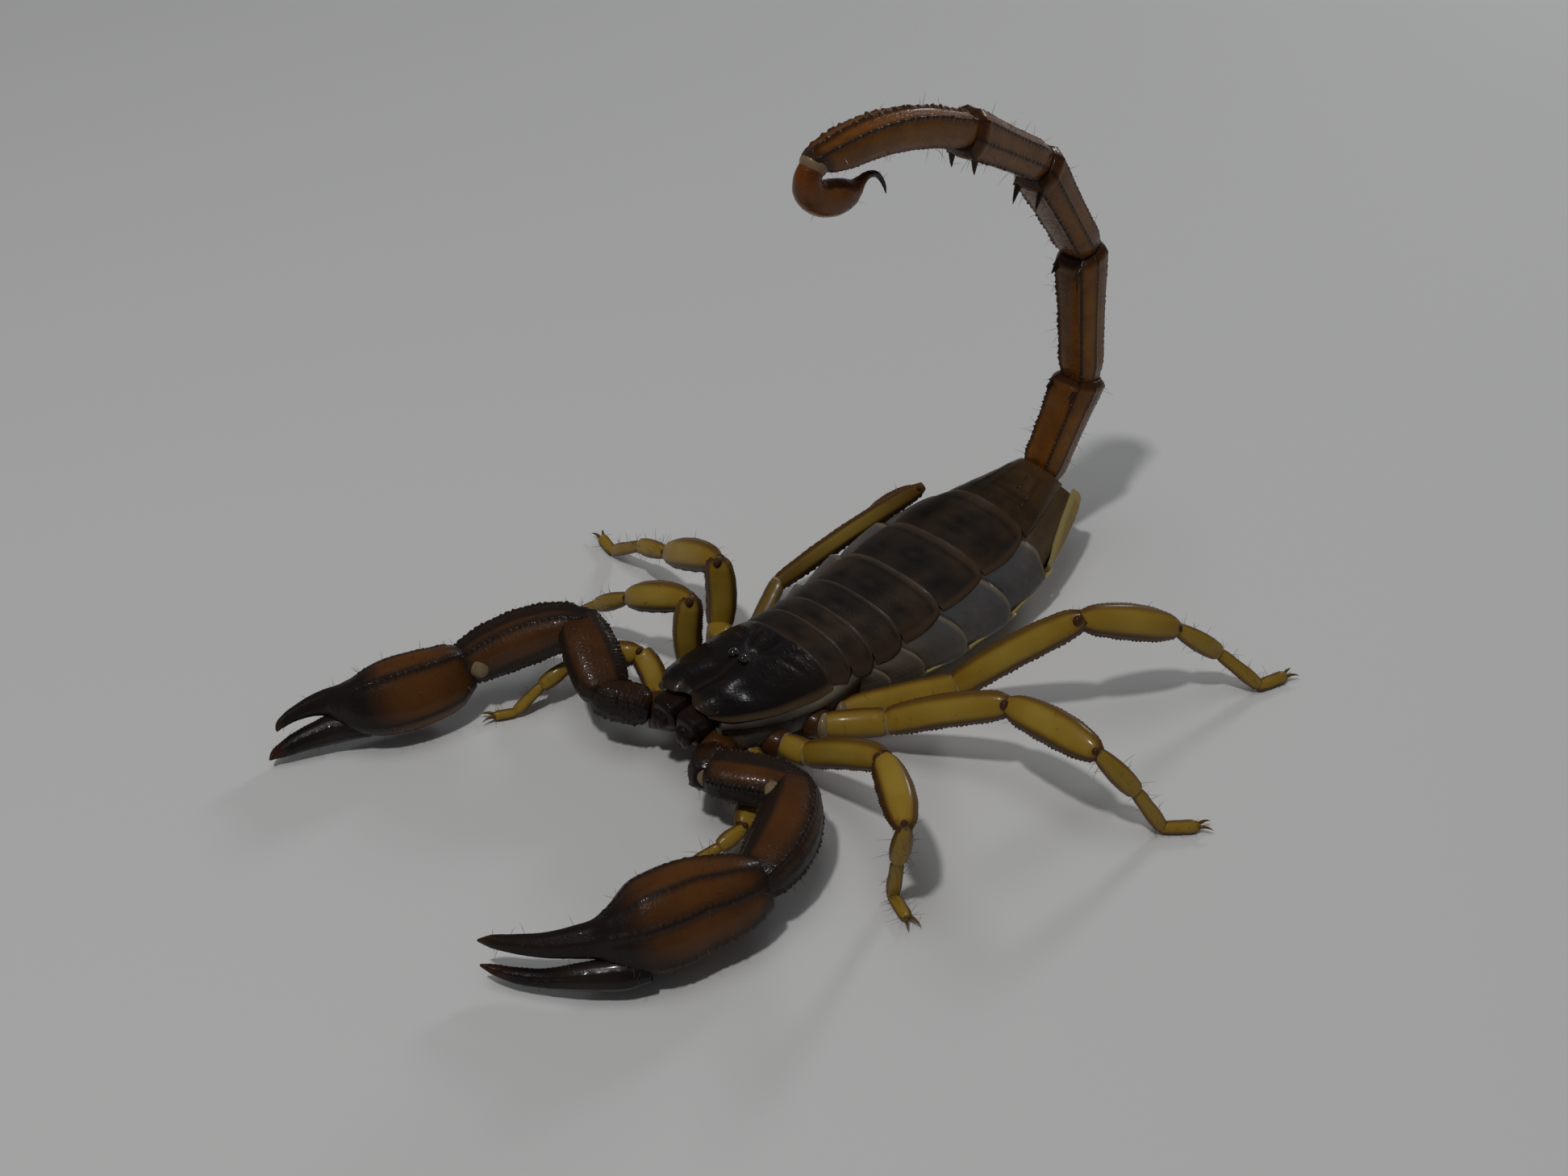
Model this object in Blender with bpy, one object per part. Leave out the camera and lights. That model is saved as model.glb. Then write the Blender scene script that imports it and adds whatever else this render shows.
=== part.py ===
"""Flinders Ranges scorpion (Urodacus elongatus), a still, life-size model in an alert pose.

Frame: +Z up, floor at z = 0, head toward -Y, the animal's left side toward +X.
All driving sizes are in millimetres and are scaled to metres by MM.
"""
import math
import random

import bmesh
import bpy
from mathutils import Vector

MM = 0.001
GAP = 0.3
HAND_FLOOR = 0.15

# Trunk stations: y, half width of the back plates, top height, height of their lower edge
TRUNK = (
    (-11.8, 5.5, 7.5, 4.9),
    (-9.4, 5.6, 7.4, 4.7),
    (-6.8, 5.7, 7.2, 4.5),
    (-3.4, 5.7, 7.0, 4.4),
    (1.4, 5.6, 6.9, 4.4),
    (7.0, 5.3, 7.3, 4.8),
    (13.4, 4.6, 8.2, 5.6),
    (22.4, 2.0, 9.4, 7.8),
)
PLATE_THICK = 0.9
# Belly stations: y, half width, bottom height, lean toward the left side
BELLY = (
    (-10.2, 4.8, 2.2, 0.0),
    (-6.8, 6.7, 1.4, 0.0),
    (-3.4, 7.3, 1.1, 0.0),
    (1.4, 7.6, 1.0, 0.15),
    (7.0, 7.4, 1.3, 0.4),
    (13.4, 6.4, 2.3, 0.6),
    (18.0, 4.8, 3.4, 0.5),
    (23.6, 2.9, 4.9, 0.3),
)
# Head shield stations: y, half width, top height, lower edge height, depth of the middle furrow
CARAPACE = (
    (-23.7, 2.7, 8.1, 7.1, 0.5),
    (-22.6, 3.7, 8.6, 6.8, 0.7),
    (-20.6, 4.6, 8.7, 6.4, 0.7),
    (-18.4, 5.2, 8.2, 5.9, 0.5),
    (-16.0, 5.5, 8.1, 5.4, 0.5),
    (-13.8, 5.7, 8.0, 5.0, 0.5),
    (-12.1, 5.6, 7.7, 4.8, 0.2),
)
NOTCH_DEPTH = 1.3
EYE_PLACE = (0.36, -17.3, 8.12)
EYE_RADIUS = 0.42

# Tail joints, from the trunk to the telson, and the half sizes of each length
TAIL_JOINTS = (
    (0.0, 21.2, 7.6), (0.5, 25.1, 16.6), (-0.6, 24.6, 29.2),
    (-0.9, 17.4, 39.3), (-0.4, 7.2, 45.4), (-0.3, -8.9, 48.2),
)
TAIL_HALF = ((2.05, 1.95), (1.9, 1.85), (1.85, 1.8), (1.75, 1.75), (1.5, 1.35))
SPUR_LENGTH = (1.0, 1.1, 1.7, 1.4)
TAIL_SIDES = 12
# Share of a length and its size there; the last length bows upward and narrows to the sting's neck
TAIL_PROFILE = ((-0.12, 0.78), (0.1, 0.9), (0.3, 0.955), (0.6, 1.0), (0.86, 1.035), (0.96, 0.965), (1.06, 0.8))
LAST_PROFILE = ((-0.06, 0.85), (0.1, 0.95), (0.3, 1.02), (0.6, 1.0), (0.82, 0.92), (0.94, 0.74), (1.06, 0.6))
LAST_ARCH = 1.15
TAIL_LEAVE = Vector((0.0, -0.75, -0.66))
# Vesicle and sting stations below the last length: y, z, radius
TELSON = ((-9.15, 47.85, 0.75), (-9.5, 47.3, 0.95), (-9.6, 46.4, 1.15), (-9.2, 45.6, 1.35), (-8.3, 45.0, 1.5), (-7.1, 44.75, 1.55),
          (-5.9, 44.9, 1.35), (-4.8, 45.2, 0.95), (-4.0, 45.4, 0.68), (-2.9, 45.5, 0.45), (-2.2, 45.2, 0.36),
          (-1.6, 44.5, 0.28), (-1.35, 43.3, 0.0))
TAIL_ENTRY = Vector((0.03, 0.77, 0.635))

# Leg joints: coxa end, trochanter end, knee, patella end, tibia end, basitarsus end, claw tip
LEGS = {
    "left_1": ((4.4, -20.3, 2.7), (5.8, -20.9, 2.5), (8.3, -23.1, 2.2), (9.5, -26.1, 2.2),
               (9.2, -28.4, 1.6), (8.2, -30.5, 0.62), (7.5, -32.5, 0.5)),
    "left_2": ((5.9, -18.0, 3.2), (8.3, -17.8, 3.6), (16.3, -18.1, 8.7), (22.6, -22.6, 9.0),
               (21.9, -22.4, 5.0), (21.2, -22.0, 0.62), (24.3, -23.2, 0.5)),
    "left_3": ((6.3, -14.0, 3.0), (10.0, -10.4, 3.4), (18.2, -5.7, 7.4), (27.0, -5.7, 8.0),
               (29.5, -3.6, 4.3), (31.4, -2.0, 0.62), (33.9, 0.8, 0.5)),
    "left_4": ((5.6, -11.3, 2.4), (10.6, -2.5, 2.8), (17.9, 3.4, 10.6), (22.1, 11.3, 7.5),
               (24.3, 14.9, 4.1), (27.2, 17.6, 0.62), (28.3, 21.1, 0.5)),
    "right_1": ((-4.6, -20.3, 2.9), (-6.3, -20.6, 2.9), (-9.0, -20.0, 5.2), (-13.6, -23.8, 3.5),
                (-14.3, -26.4, 2.3), (-15.0, -28.9, 0.62), (-16.2, -30.9, 0.5)),
    "right_2": ((-5.6, -18.0, 3.2), (-7.9, -17.1, 3.2), (-6.9, -16.4, 10.0), (-13.6, -17.1, 6.8),
                (-17.4, -17.4, 4.1), (-21.4, -17.8, 0.62), (-24.0, -19.4, 0.5)),
    "right_3": ((-6.0, -14.0, 2.9), (-8.9, -11.0, 2.9), (-9.4, -10.6, 9.5), (-17.2, -9.4, 5.5),
                (-21.7, -8.6, 3.5), (-26.1, -8.4, 0.62), (-29.1, -7.5, 0.5)),
    "right_4": ((-5.5, -11.3, 2.3), (-10.3, -2.6, 2.1), (-7.5, 12.4, 5.4), (-11.6, 10.8, 2.0),
                (-9.8, 12.7, 1.4), (-8.4, 14.6, 0.62), (-7.6, 16.7, 0.5)),
}
# Half heights of the leg's lengths
TROCHANTER_HALF = 1.15
FEMUR_HALF = 1.3
PATELLA_HALF = 1.5
TIBIA_HALF = 0.85
BASITARSUS_HALF = 0.62
TELOTARSUS_HALF = 0.5
LEG_FLATTEN = 0.72
LEG_SIZE = {"1": 0.8, "2": 0.92, "3": 1.0, "4": 1.0}
LEG_SIDES = 8

# Pedipalp joints: coxa end, trochanter end, elbow, wrist, middle of the hand
PALPS = {
    "left": ((3.7, -23.6, 4.2), (5.2, -25.9, 5.0), (11.2, -22.4, 5.2), (15.6, -31.1, 4.5), (13.5, -38.0, 4.1)),
    "right": ((-3.9, -23.5, 4.3), (-6.9, -25.4, 5.0), (-12.9, -23.0, 7.8), (-19.2, -30.9, 4.1),
              (-20.0, -35.8, 3.9)),
}
# Hand and finger stations: x, y, z of the middle, and half the height there
HANDS = {
    "left": {
        "up": (-0.51, 0.26, 0.82),
        "hand": ((16.0, -30.5, 4.5, 1.6), (15.5, -32.2, 4.4, 2.3), (14.9, -33.8, 4.3, 2.95),
                 (14.1, -35.6, 4.2, 3.5), (13.4, -38.0, 4.1, 3.7), (12.8, -40.1, 4.0, 3.4),
                 (12.0, -41.7, 3.9, 2.3)),
        "fixed": ((12.4, -40.0, 4.3, 1.8), (11.2, -41.5, 4.0, 1.6), (10.2, -43.1, 3.8, 1.18),
                  (8.7, -44.8, 3.5, 0.89), (7.0, -46.3, 3.2, 0.56), (5.6, -47.4, 3.1, 0.34), (4.7, -48.0, 3.0, 0.0)),
        "movable": ((14.8, -40.6, 2.2, 0.85), (13.5, -41.8, 2.0, 1.03), (12.2, -43.2, 1.7, 1.06),
                    (10.5, -45.1, 1.4, 0.82), (8.5, -47.0, 1.3, 0.6), (6.9, -48.2, 1.5, 0.38),
                    (5.6, -48.8, 1.8, 0.0)),
    },
    "right": {
        "up": (-0.487, 0.10, 0.868),
        "hand": ((-19.0, -30.2, 4.3, 1.4), (-19.2, -31.7, 4.2, 1.95), (-19.3, -33.2, 4.1, 2.6),
                 (-19.6, -34.6, 4.0, 3.0), (-20.2, -36.4, 3.9, 3.15), (-20.9, -38.0, 3.8, 2.9),
                 (-21.7, -39.6, 3.7, 2.1)),
        "fixed": ((-22.0, -38.2, 4.1, 1.5), (-23.2, -40.0, 3.9, 1.2), (-24.0, -41.4, 3.7, 0.95),
                  (-24.6, -42.8, 3.4, 0.74), (-24.9, -44.1, 3.0, 0.48), (-24.8, -44.9, 2.8, 0.32),
                  (-24.5, -45.5, 2.6, 0.0)),
        "movable": ((-20.6, -39.4, 2.2, 0.85), (-21.7, -40.8, 2.0, 1.12), (-22.8, -42.0, 1.6, 1.1),
                    (-23.9, -43.4, 1.3, 0.86), (-24.3, -45.0, 1.0, 0.64), (-24.3, -46.2, 0.9, 0.4),
                    (-24.1, -46.9, 0.9, 0.0)),
    },
}
HAND_THICK = 0.78
PALP_SCALE = {"left": 1.0, "right": 0.92}
SEED = 7


def clear_scene():
    for old in list(bpy.data.objects):
        bpy.data.objects.remove(old, do_unlink=True)


def make_material(name, colour, roughness):
    material = bpy.data.materials.new(name)
    material.use_nodes = True
    shader = material.node_tree.nodes["Principled BSDF"]
    shader.inputs["Base Color"].default_value = (*colour, 1.0)
    shader.inputs["Roughness"].default_value = roughness
    shader.inputs["Metallic"].default_value = 0.0
    return material


def new_object(name, bm, material=None):
    """Turn a bmesh in millimetres into an object in metres."""
    bmesh.ops.recalc_face_normals(bm, faces=bm.faces)
    bmesh.ops.scale(bm, vec=(MM, MM, MM), verts=bm.verts)
    mesh = bpy.data.meshes.new(name)
    bm.to_mesh(mesh)
    bm.free()
    obj = bpy.data.objects.new(name, mesh)
    PARTS.objects.link(obj)
    if material:
        mesh.materials.append(material)
    return obj


def skin_rings(rings, pointed_end=None):
    """Join closed rings of equal count into one capped skin; an optional tip closes the far end."""
    bm = bmesh.new()
    loops = [[bm.verts.new(point) for point in ring] for ring in rings]
    count = len(loops[0])
    for near, far in zip(loops, loops[1:]):
        for i in range(count):
            j = (i + 1) % count
            bm.faces.new((near[i], near[j], far[j], far[i]))
    bm.faces.new(list(reversed(loops[0])))
    if pointed_end is None:
        bm.faces.new(loops[-1])
    else:
        tip = bm.verts.new(pointed_end)
        for i in range(count):
            bm.faces.new((loops[-1][i], loops[-1][(i + 1) % count], tip))
    return bm


def frame_of(direction, up_hint):
    axis = direction.normalized()
    side = axis.cross(up_hint).normalized()
    return axis, side, side.cross(axis).normalized()


def ring_at(centre, side, up, half_width, half_height, sides, power=2.0, ridges=0.0):
    """A superellipse ring; ridges lifts every corner point for a keeled outline."""
    points = []
    for k in range(sides):
        angle = 2 * math.pi * (k + 0.5) / sides
        c, s = math.cos(angle), math.sin(angle)
        x = math.copysign(abs(c) ** (2 / power), c) * half_width
        y = math.copysign(abs(s) ** (2 / power), s) * half_height
        lift = 1.0 + (ridges if k % 3 == 1 else 0.0)
        points.append(centre + side * (x * lift) + up * (y * lift))
    return points


def tube(start, end, sections, up_hint, sides, power=2.0, ridges=0.0, arch=0.0):
    """A lofted length from start to end; sections hold (fraction, half width, half height)."""
    start, end = Vector(start), Vector(end)
    axis, side, up = frame_of(end - start, Vector(up_hint))
    rings = []
    for t, half_width, half_height in sections:
        bow = arch * math.sin(math.pi * min(max(t, 0.0), 1.0))
        centre = start.lerp(end, t) + up * bow
        rings.append(ring_at(centre, side, up, half_width, half_height, sides, power, ridges))
    return skin_rings(rings)


def cut(bm, point, normal):
    """Cut away all on the far side of a plane and close the cut with one flat face."""
    geometry = bm.verts[:] + bm.edges[:] + bm.faces[:]
    done = bmesh.ops.bisect_plane(bm, geom=geometry, dist=1e-4, plane_co=Vector(point),
                                  plane_no=Vector(normal).normalized(), clear_outer=True)
    rim = [e for e in done["geom_cut"] if isinstance(e, bmesh.types.BMEdge)]
    if rim:
        bmesh.ops.contextual_create(bm, geom=rim)
    bmesh.ops.remove_doubles(bm, verts=bm.verts, dist=1e-3)


def joint_plane(before, joint, after):
    """The plane that halves a joint's bend, its normal pointing toward the next length."""
    into = (Vector(joint) - Vector(before)).normalized()
    out = (Vector(after) - Vector(joint)).normalized()
    return (into + out).normalized()


def spike(base, direction, length, radius, sides=4, bend=None):
    """A cone whose foot is sunk into what it grows from."""
    direction = Vector(direction).normalized()
    base = Vector(base)
    hint = Vector((0.3, 0.2, 1.0)) if abs(direction.z) < 0.9 else Vector((1.0, 0.2, 0.0))
    axis, side, up = frame_of(direction, hint)
    foot = base - axis * (radius * 1.2)
    rings = [ring_at(foot, side, up, radius, radius, sides)]
    tip = base + axis * length
    if bend is not None:
        middle = base + axis * (length * 0.45)
        rings.append(ring_at(middle, side, up, radius * 0.7, radius * 0.7, sides))
        tip = tip + Vector(bend)
    return skin_rings(rings, pointed_end=tip)


def fuse(name, pieces, material):
    """Union the pieces, each a bmesh in millimetres, and keep the largest closed body."""
    base = new_object(name, pieces[0], material)
    if len(pieces) > 1:
        group = bpy.data.collections.new(name + "_pieces")
        bpy.context.scene.collection.children.link(group)
        helpers = []
        for index, piece in enumerate(pieces[1:]):
            helper = new_object(f"{name}_piece_{index}", piece)
            PARTS.objects.unlink(helper)
            group.objects.link(helper)
            helpers.append(helper)
        union = base.modifiers.new("union", "BOOLEAN")
        union.operation = "UNION"
        union.operand_type = "COLLECTION"
        union.collection = group
        union.solver = "MANIFOLD"
        apply_modifiers(base)
        for helper in helpers:
            bpy.data.objects.remove(helper, do_unlink=True)
        bpy.data.collections.remove(group)
        keep_largest(base)
    return base


def apply_modifiers(obj):
    graph = bpy.context.evaluated_depsgraph_get()
    graph.update()
    mesh = bpy.data.meshes.new_from_object(obj.evaluated_get(graph))
    obj.modifiers.clear()
    old = obj.data
    obj.data = mesh
    bpy.data.meshes.remove(old)


def keep_largest(obj):
    """Drop sealed hollows and loose scraps that a union can leave."""
    bm = bmesh.new()
    bm.from_mesh(obj.data)
    bmesh.ops.remove_doubles(bm, verts=bm.verts, dist=2e-6)
    bmesh.ops.dissolve_degenerate(bm, edges=bm.edges, dist=1e-6)
    left = set(bm.faces)
    shells = []
    while left:
        seed = left.pop()
        shell, queue = {seed}, [seed]
        while queue:
            for edge in queue.pop().edges:
                for face in edge.link_faces:
                    if face in left:
                        left.discard(face)
                        shell.add(face)
                        queue.append(face)
        shells.append(shell)
    shells.sort(key=lambda s: sum(face.calc_area() for face in s), reverse=True)
    for shell in shells[1:]:
        bmesh.ops.delete(bm, geom=list(shell), context="FACES")
    loose = [v for v in bm.verts if not v.link_faces]
    bmesh.ops.delete(bm, geom=loose, context="VERTS")
    bmesh.ops.triangulate(bm, faces=bm.faces)
    bm.to_mesh(obj.data)
    bm.free()


def station(table, y):
    """Interpolate a table of stations at y."""
    if y <= table[0][0]:
        return table[0][1:]
    for low, high in zip(table, table[1:]):
        if y <= high[0]:
            t = (y - low[0]) / (high[0] - low[0])
            return tuple(a + (b - a) * t for a, b in zip(low[1:], high[1:]))
    return table[-1][1:]


def dome_height(half_width, top, edge, x):
    """Height of the back at sideways place x."""
    u = min(abs(x) / half_width, 1.0)
    return edge + (top - edge) * (1.0 - u ** 2.4) ** 0.6


def plate(name, y_front, y_rear, material, keels=False):
    """One back plate: a curved slab that swells a little to a raised rear rim."""
    across = (-1.0, -0.93, -0.78, -0.55, -0.28, 0.0, 0.28, 0.55, 0.78, 0.93, 1.0)
    rows = ((0.0, -0.28, 0.97), (0.45, -0.05, 1.0), (0.9, 0.1, 1.02), (1.0, -0.1, 1.0))
    upper, lower = [], []
    for t, rise, swell in rows:
        y = y_front + (y_rear - y_front) * t
        half, top, edge = station(TRUNK, y)
        half *= swell
        line_up, line_down = [], []
        for u in across:
            corner = 0.55 * (abs(u) ** 6) * (1 if t < 0.5 else -1)
            z = dome_height(half, top + rise, edge, half * u)
            ridge = 0.22 if keels and u in (-0.55, 0.55) and 0.2 < t < 0.98 else 0.0
            line_up.append(Vector((half * u, y + corner, z + ridge)))
            inner = half - PLATE_THICK * 0.75
            z_in = dome_height(half, top, edge, half * u) - PLATE_THICK
            line_down.append(Vector((inner * u, y + corner, max(z_in, edge - 0.35))))
        upper.append(line_up)
        lower.append(line_down)
    rings = [up + list(reversed(down)) for up, down in zip(upper, lower)]
    slab = skin_rings(rings)
    if y_rear > 20.0:
        cut(slab, Vector(TAIL_JOINTS[0]) - TAIL_ENTRY * (GAP / 2), TAIL_ENTRY)
    return new_object(name, slab, material)


def make_back_plates(material):
    for index, (front, rear) in enumerate(zip(TRUNK, TRUNK[1:])):
        y_front = front[0] + GAP / 2
        y_rear = rear[0] - GAP / 2
        plate(f"tergite_{index + 1}", y_front, y_rear, material, keels=index == 6)


def make_belly(material):
    """Soft sides and belly plates as one body below the back plates."""
    ys = []
    for low, high in zip(BELLY, BELLY[1:]):
        ys += [low[0], low[0] + (high[0] - low[0]) * 0.86]
    ys.append(BELLY[-1][0])
    rings = []
    for index, y in enumerate(ys):
        half, bottom, lean = station(BELLY, y)
        swell = 1.03 if index % 2 else 0.94
        plate_half, top, edge = station(TRUNK, y)
        plate_half = plate_half - PLATE_THICK * 0.75 - GAP
        ring = []
        for u in (-1.0, -0.75, -0.4, 0.0, 0.4, 0.75, 1.0):
            z = dome_height(plate_half + 0.6, top, edge, plate_half * u) - PLATE_THICK - GAP - 0.1
            ring.append(Vector((plate_half * u, y, max(z, bottom + 1.2) if abs(u) < 1 else edge - 0.75)))
        side_low = bottom + (edge - bottom) * 0.4
        middle = edge - 1.0
        for u, z in ((0.93, middle), (1.0, side_low), (0.93, bottom + 0.55), (0.75, bottom + 0.1),
                     (0.35, bottom), (-0.35, bottom), (-0.75, bottom + 0.1), (-0.93, bottom + 0.55),
                     (-1.0, side_low), (-0.93, middle)):
            ring.append(Vector((half * swell * u + lean, y, min(z, middle))))
        rings.append(ring)
    body = skin_rings(rings)
    cut(body, Vector(TAIL_JOINTS[0]) - TAIL_ENTRY * (GAP / 2), TAIL_ENTRY)
    return new_object("belly", body, material)


def carapace_top(x, y):
    half, top, edge, furrow = station(CARAPACE, y)
    dip = furrow * math.exp(-(x / 0.9) ** 2)
    return dome_height(half, top, edge, x) - dip


def make_carapace(material):
    """Head shield with a notched front, a middle furrow and the eye hill."""
    across = (-1.0, -0.94, -0.8, -0.6, -0.38, -0.17, 0.0, 0.17, 0.38, 0.6, 0.8, 0.94, 1.0)
    rings = []
    for row, (y, half, top, edge, furrow) in enumerate(CARAPACE):
        line_up, line_down = [], []
        for u in across:
            x = half * u
            shift = 0.0
            if row == 0:
                shift = NOTCH_DEPTH * math.exp(-(u / 0.34) ** 2) + 0.55 * u ** 4
            elif row == 1:
                shift = NOTCH_DEPTH * 0.35 * math.exp(-(u / 0.34) ** 2)
            line_up.append(Vector((x, y + shift, carapace_top(x, y))))
            z_low = edge - 0.3 * (1 - u * u)
            line_down.append(Vector(((half - 0.45) * u, y + shift + (0.25 if row == 0 else 0.0), z_low)))
        rings.append(line_up + list(reversed(line_down)))
    shield = skin_rings(rings)
    hill = tube((0, -19.0, 7.45), (0, -15.6, 7.35),
                ((0.0, 0.35, 0.25), (0.25, 0.85, 0.72), (0.55, 0.95, 0.85), (0.85, 0.7, 0.55), (1.0, 0.3, 0.2)),
                (0, 0, 1), 8)
    pieces = [shield, hill]
    return fuse("carapace", pieces, material)


def make_eyes(material):
    for label, sign in (("left", 1), ("right", -1)):
        bm = bmesh.new()
        bmesh.ops.create_uvsphere(bm, u_segments=8, v_segments=6, radius=EYE_RADIUS)
        outward = Vector((sign * 0.75, -0.15, 0.65)).normalized()
        centre = Vector((sign * EYE_PLACE[0], EYE_PLACE[1], EYE_PLACE[2])) + outward * 0.27
        bmesh.ops.translate(bm, verts=bm.verts, vec=centre)
        cut(bm, centre - outward * 0.05, -outward)
        new_object(f"eye_{label}", bm, material)


def make_underside(material):
    """Breast of the head end: coxae of the legs and palps fused to one block."""
    block = skin_rings([
        [Vector((x, y, z)) for x, z in ((-w, top), (w, top), (w + 0.5, 3.9), (w * 0.9, 2.0), (0, 1.6),
                                        (-w * 0.9, 2.0), (-w - 0.5, 3.9))]
        for y, w, top in ((-22.2, 2.6, 6.0), (-20.0, 3.6, 5.75), (-17.0, 4.2, 5.2),
                          (-14.0, 4.4, 4.55), (-11.25, 4.4, 4.1))])
    pieces = [block]
    for label, joints in LEGS.items():
        end = Vector(joints[0])
        start = Vector((math.copysign(1.2, end.x), end.y - 1.0, end.z - 0.2))
        out = (end - start).normalized()
        size = LEG_SIZE[label[-1]]
        coxa = tube(start, end + out * 0.3,
                    ((0.0, 0.9, 0.9), (0.55, 1.35 * size, 1.3 * size), (0.85, 1.3 * size, 1.25 * size),
                     (1.0, 1.1 * size, 1.1 * size)), (0, 0, 1), 8)
        cut(coxa, end - out * GAP, out)
        pieces.append(coxa)
    for joints in PALPS.values():
        end = Vector(joints[0])
        start = Vector((math.copysign(1.6, end.x), -20.6, 3.6))
        out = (end - start).normalized()
        coxa = tube(start, end + out * 0.3,
                    ((0.0, 1.2, 1.2), (0.5, 1.6, 1.6), (1.0, 1.45, 1.5)), (0, 0, 1), 8)
        cut(coxa, end - out * GAP, out)
        pieces.append(coxa)
    breast = fuse("prosoma_underside", pieces, material)
    for label, joints in LEGS.items():
        carve(breast, trochanter_shape(joints, LEG_SIZE[label[-1]], GAP))
    for joints in PALPS.values():
        carve(breast, palp_trochanter(joints, GAP))
    for sign in (1, -1):
        carve(breast, chelicera_hand(sign, GAP))


def make_pectines(material):
    """Comb organs under the belly behind the last coxae, each with a row of teeth."""
    for label, sign in (("left", 1), ("right", -1)):
        start, end = Vector((sign * 0.9, -10.2, 0.72)), Vector((sign * 5.6, -7.6, 0.72))
        spine = tube(start, end, ((0.0, 0.55, 0.28), (0.5, 0.5, 0.26), (1.0, 0.3, 0.25)), (0, 0, 1), 6)
        pieces = [spine]
        for k in range(9):
            foot = start.lerp(end, 0.08 + 0.1 * k)
            tooth = tube(foot, foot + Vector((sign * 0.15, 1.6 - 0.06 * k, 0.0)),
                         ((0.0, 0.17, 0.2), (0.7, 0.16, 0.19), (1.0, 0.09, 0.12)), (0, 0, 1), 4)
            pieces.append(tooth)
        fuse(f"pecten_{label}", pieces, material)


def chelicera_hand(sign, extra):
    base, front = Vector((sign * 1.2, -22.1, 5.55)), Vector((sign * 1.2, -24.2, 5.1))
    sections = [(t, w + extra, h + extra)
                for t, w, h in ((0.0, 0.95, 0.9), (0.35, 1.03, 1.2), (0.75, 1.0, 1.15), (1.0, 0.7, 0.8))]
    return tube(base, front, sections, (0, 0, 1), 8)


def make_chelicerae(material):
    for label, sign in (("left", 1), ("right", -1)):
        front = Vector((sign * 1.2, -24.2, 5.1))
        fixed = tube(front + Vector((-sign * 0.25, 0.5, 0.2)), front + Vector((-sign * 0.4, -0.7, -1.1)),
                     ((0.0, 0.5, 0.45), (0.6, 0.38, 0.34), (1.0, 0.15, 0.14)), (0, 0, 1), 6)
        movable = tube(front + Vector((sign * 0.4, 0.5, 0.0)), front + Vector((sign * 0.25, -0.6, -1.4)),
                       ((0.0, 0.48, 0.45), (0.6, 0.36, 0.34), (1.0, 0.15, 0.14)), (0, 0, 1), 6)
        fuse(f"chelicera_{label}", [chelicera_hand(sign, 0.0), fixed, movable], material)


def make_tail(material, dark):
    """Five keeled lengths that curl up and forward, with spurs at the ends of the upper keels."""
    joints = [Vector(j) for j in TAIL_JOINTS]
    centre = Vector((0.0, 6.0, 22.0))
    rng = random.Random(SEED)
    for index in range(5):
        a, b = joints[index], joints[index + 1]
        half_width, half_height = TAIL_HALF[index]
        middle = (a + b) / 2
        up_hint = centre - middle
        profile = TAIL_PROFILE if index < 4 else LAST_PROFILE
        sections = [(t, half_width * k, half_height * k) for t, k in profile]
        body = tube(a, b, sections, up_hint, TAIL_SIDES, power=2.8, ridges=0.05,
                    arch=0.0 if index < 4 else -LAST_ARCH)
        entry = TAIL_ENTRY if index == 0 else joint_plane(joints[index - 1], a, b)
        leave = joint_plane(a, b, joints[index + 2]) if index < 4 else TAIL_LEAVE
        cut(body, a + entry * GAP / 2, -entry)
        cut(body, b - leave * GAP / 2, leave)
        pieces = [body]
        axis, side, up = frame_of(b - a, up_hint)
        for sign in (-1, 1):
            if index < 4:
                root = b - axis * 1.5 + up * (half_height * 0.86) + side * (sign * half_width * 0.62)
                pieces.append(spike(root, up * 0.85 - axis * 0.35, SPUR_LENGTH[index], 0.5, 5,
                                    bend=-axis * 0.15 * SPUR_LENGTH[index]))
            teeth = 5 if index < 4 else 7
            for k in range(teeth):
                t = 0.14 + 0.6 * k / (teeth - 1) + rng.uniform(-0.02, 0.02)
                lean = up * 0.9 if index < 4 else -up * 0.9
                bow = 0.0 if index < 4 else -LAST_ARCH * math.sin(math.pi * t)
                place = (a.lerp(b, t) + lean * half_height * 0.93 + side * (sign * half_width * 0.64)
                         + up * bow)
                grow = 0.28 + 0.1 * k / teeth if index < 4 else 0.3 + 0.35 * t
                pieces.append(spike(place, lean - axis * 0.2, grow, 0.26, 4))
        fuse(f"metasoma_{index + 1}", pieces, material)
    make_telson(joints[5], dark)


def make_telson(joint, material):
    """Vesicle folded under the last length, with the curved sting."""
    stations = [(joint.x, y, z, radius) for y, z, radius in TELSON]
    new_object("telson", swept(stations, (1, 0, 0), 10, 1.0, 2.0), material)


def leg_part(joints, index, sections, half, power=2.4, arch=0.0):
    a, b = Vector(joints[index]), Vector(joints[index + 1])
    scaled = [(t, w * half * LEG_FLATTEN, h * half) for t, w, h in sections]
    return tube(a, b, scaled, (0, 0, 1), LEG_SIDES, power=power, arch=arch)


def trim_joint(bm, joints, index, at_start):
    """Cut a length at a joint's halving plane, leaving half the gap."""
    joint = Vector(joints[index])
    normal = joint_plane(joints[index - 1], joint, joints[index + 1])
    if at_start:
        cut(bm, joint + normal * GAP / 2, -normal)
    else:
        cut(bm, joint - normal * GAP / 2, normal)


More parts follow.
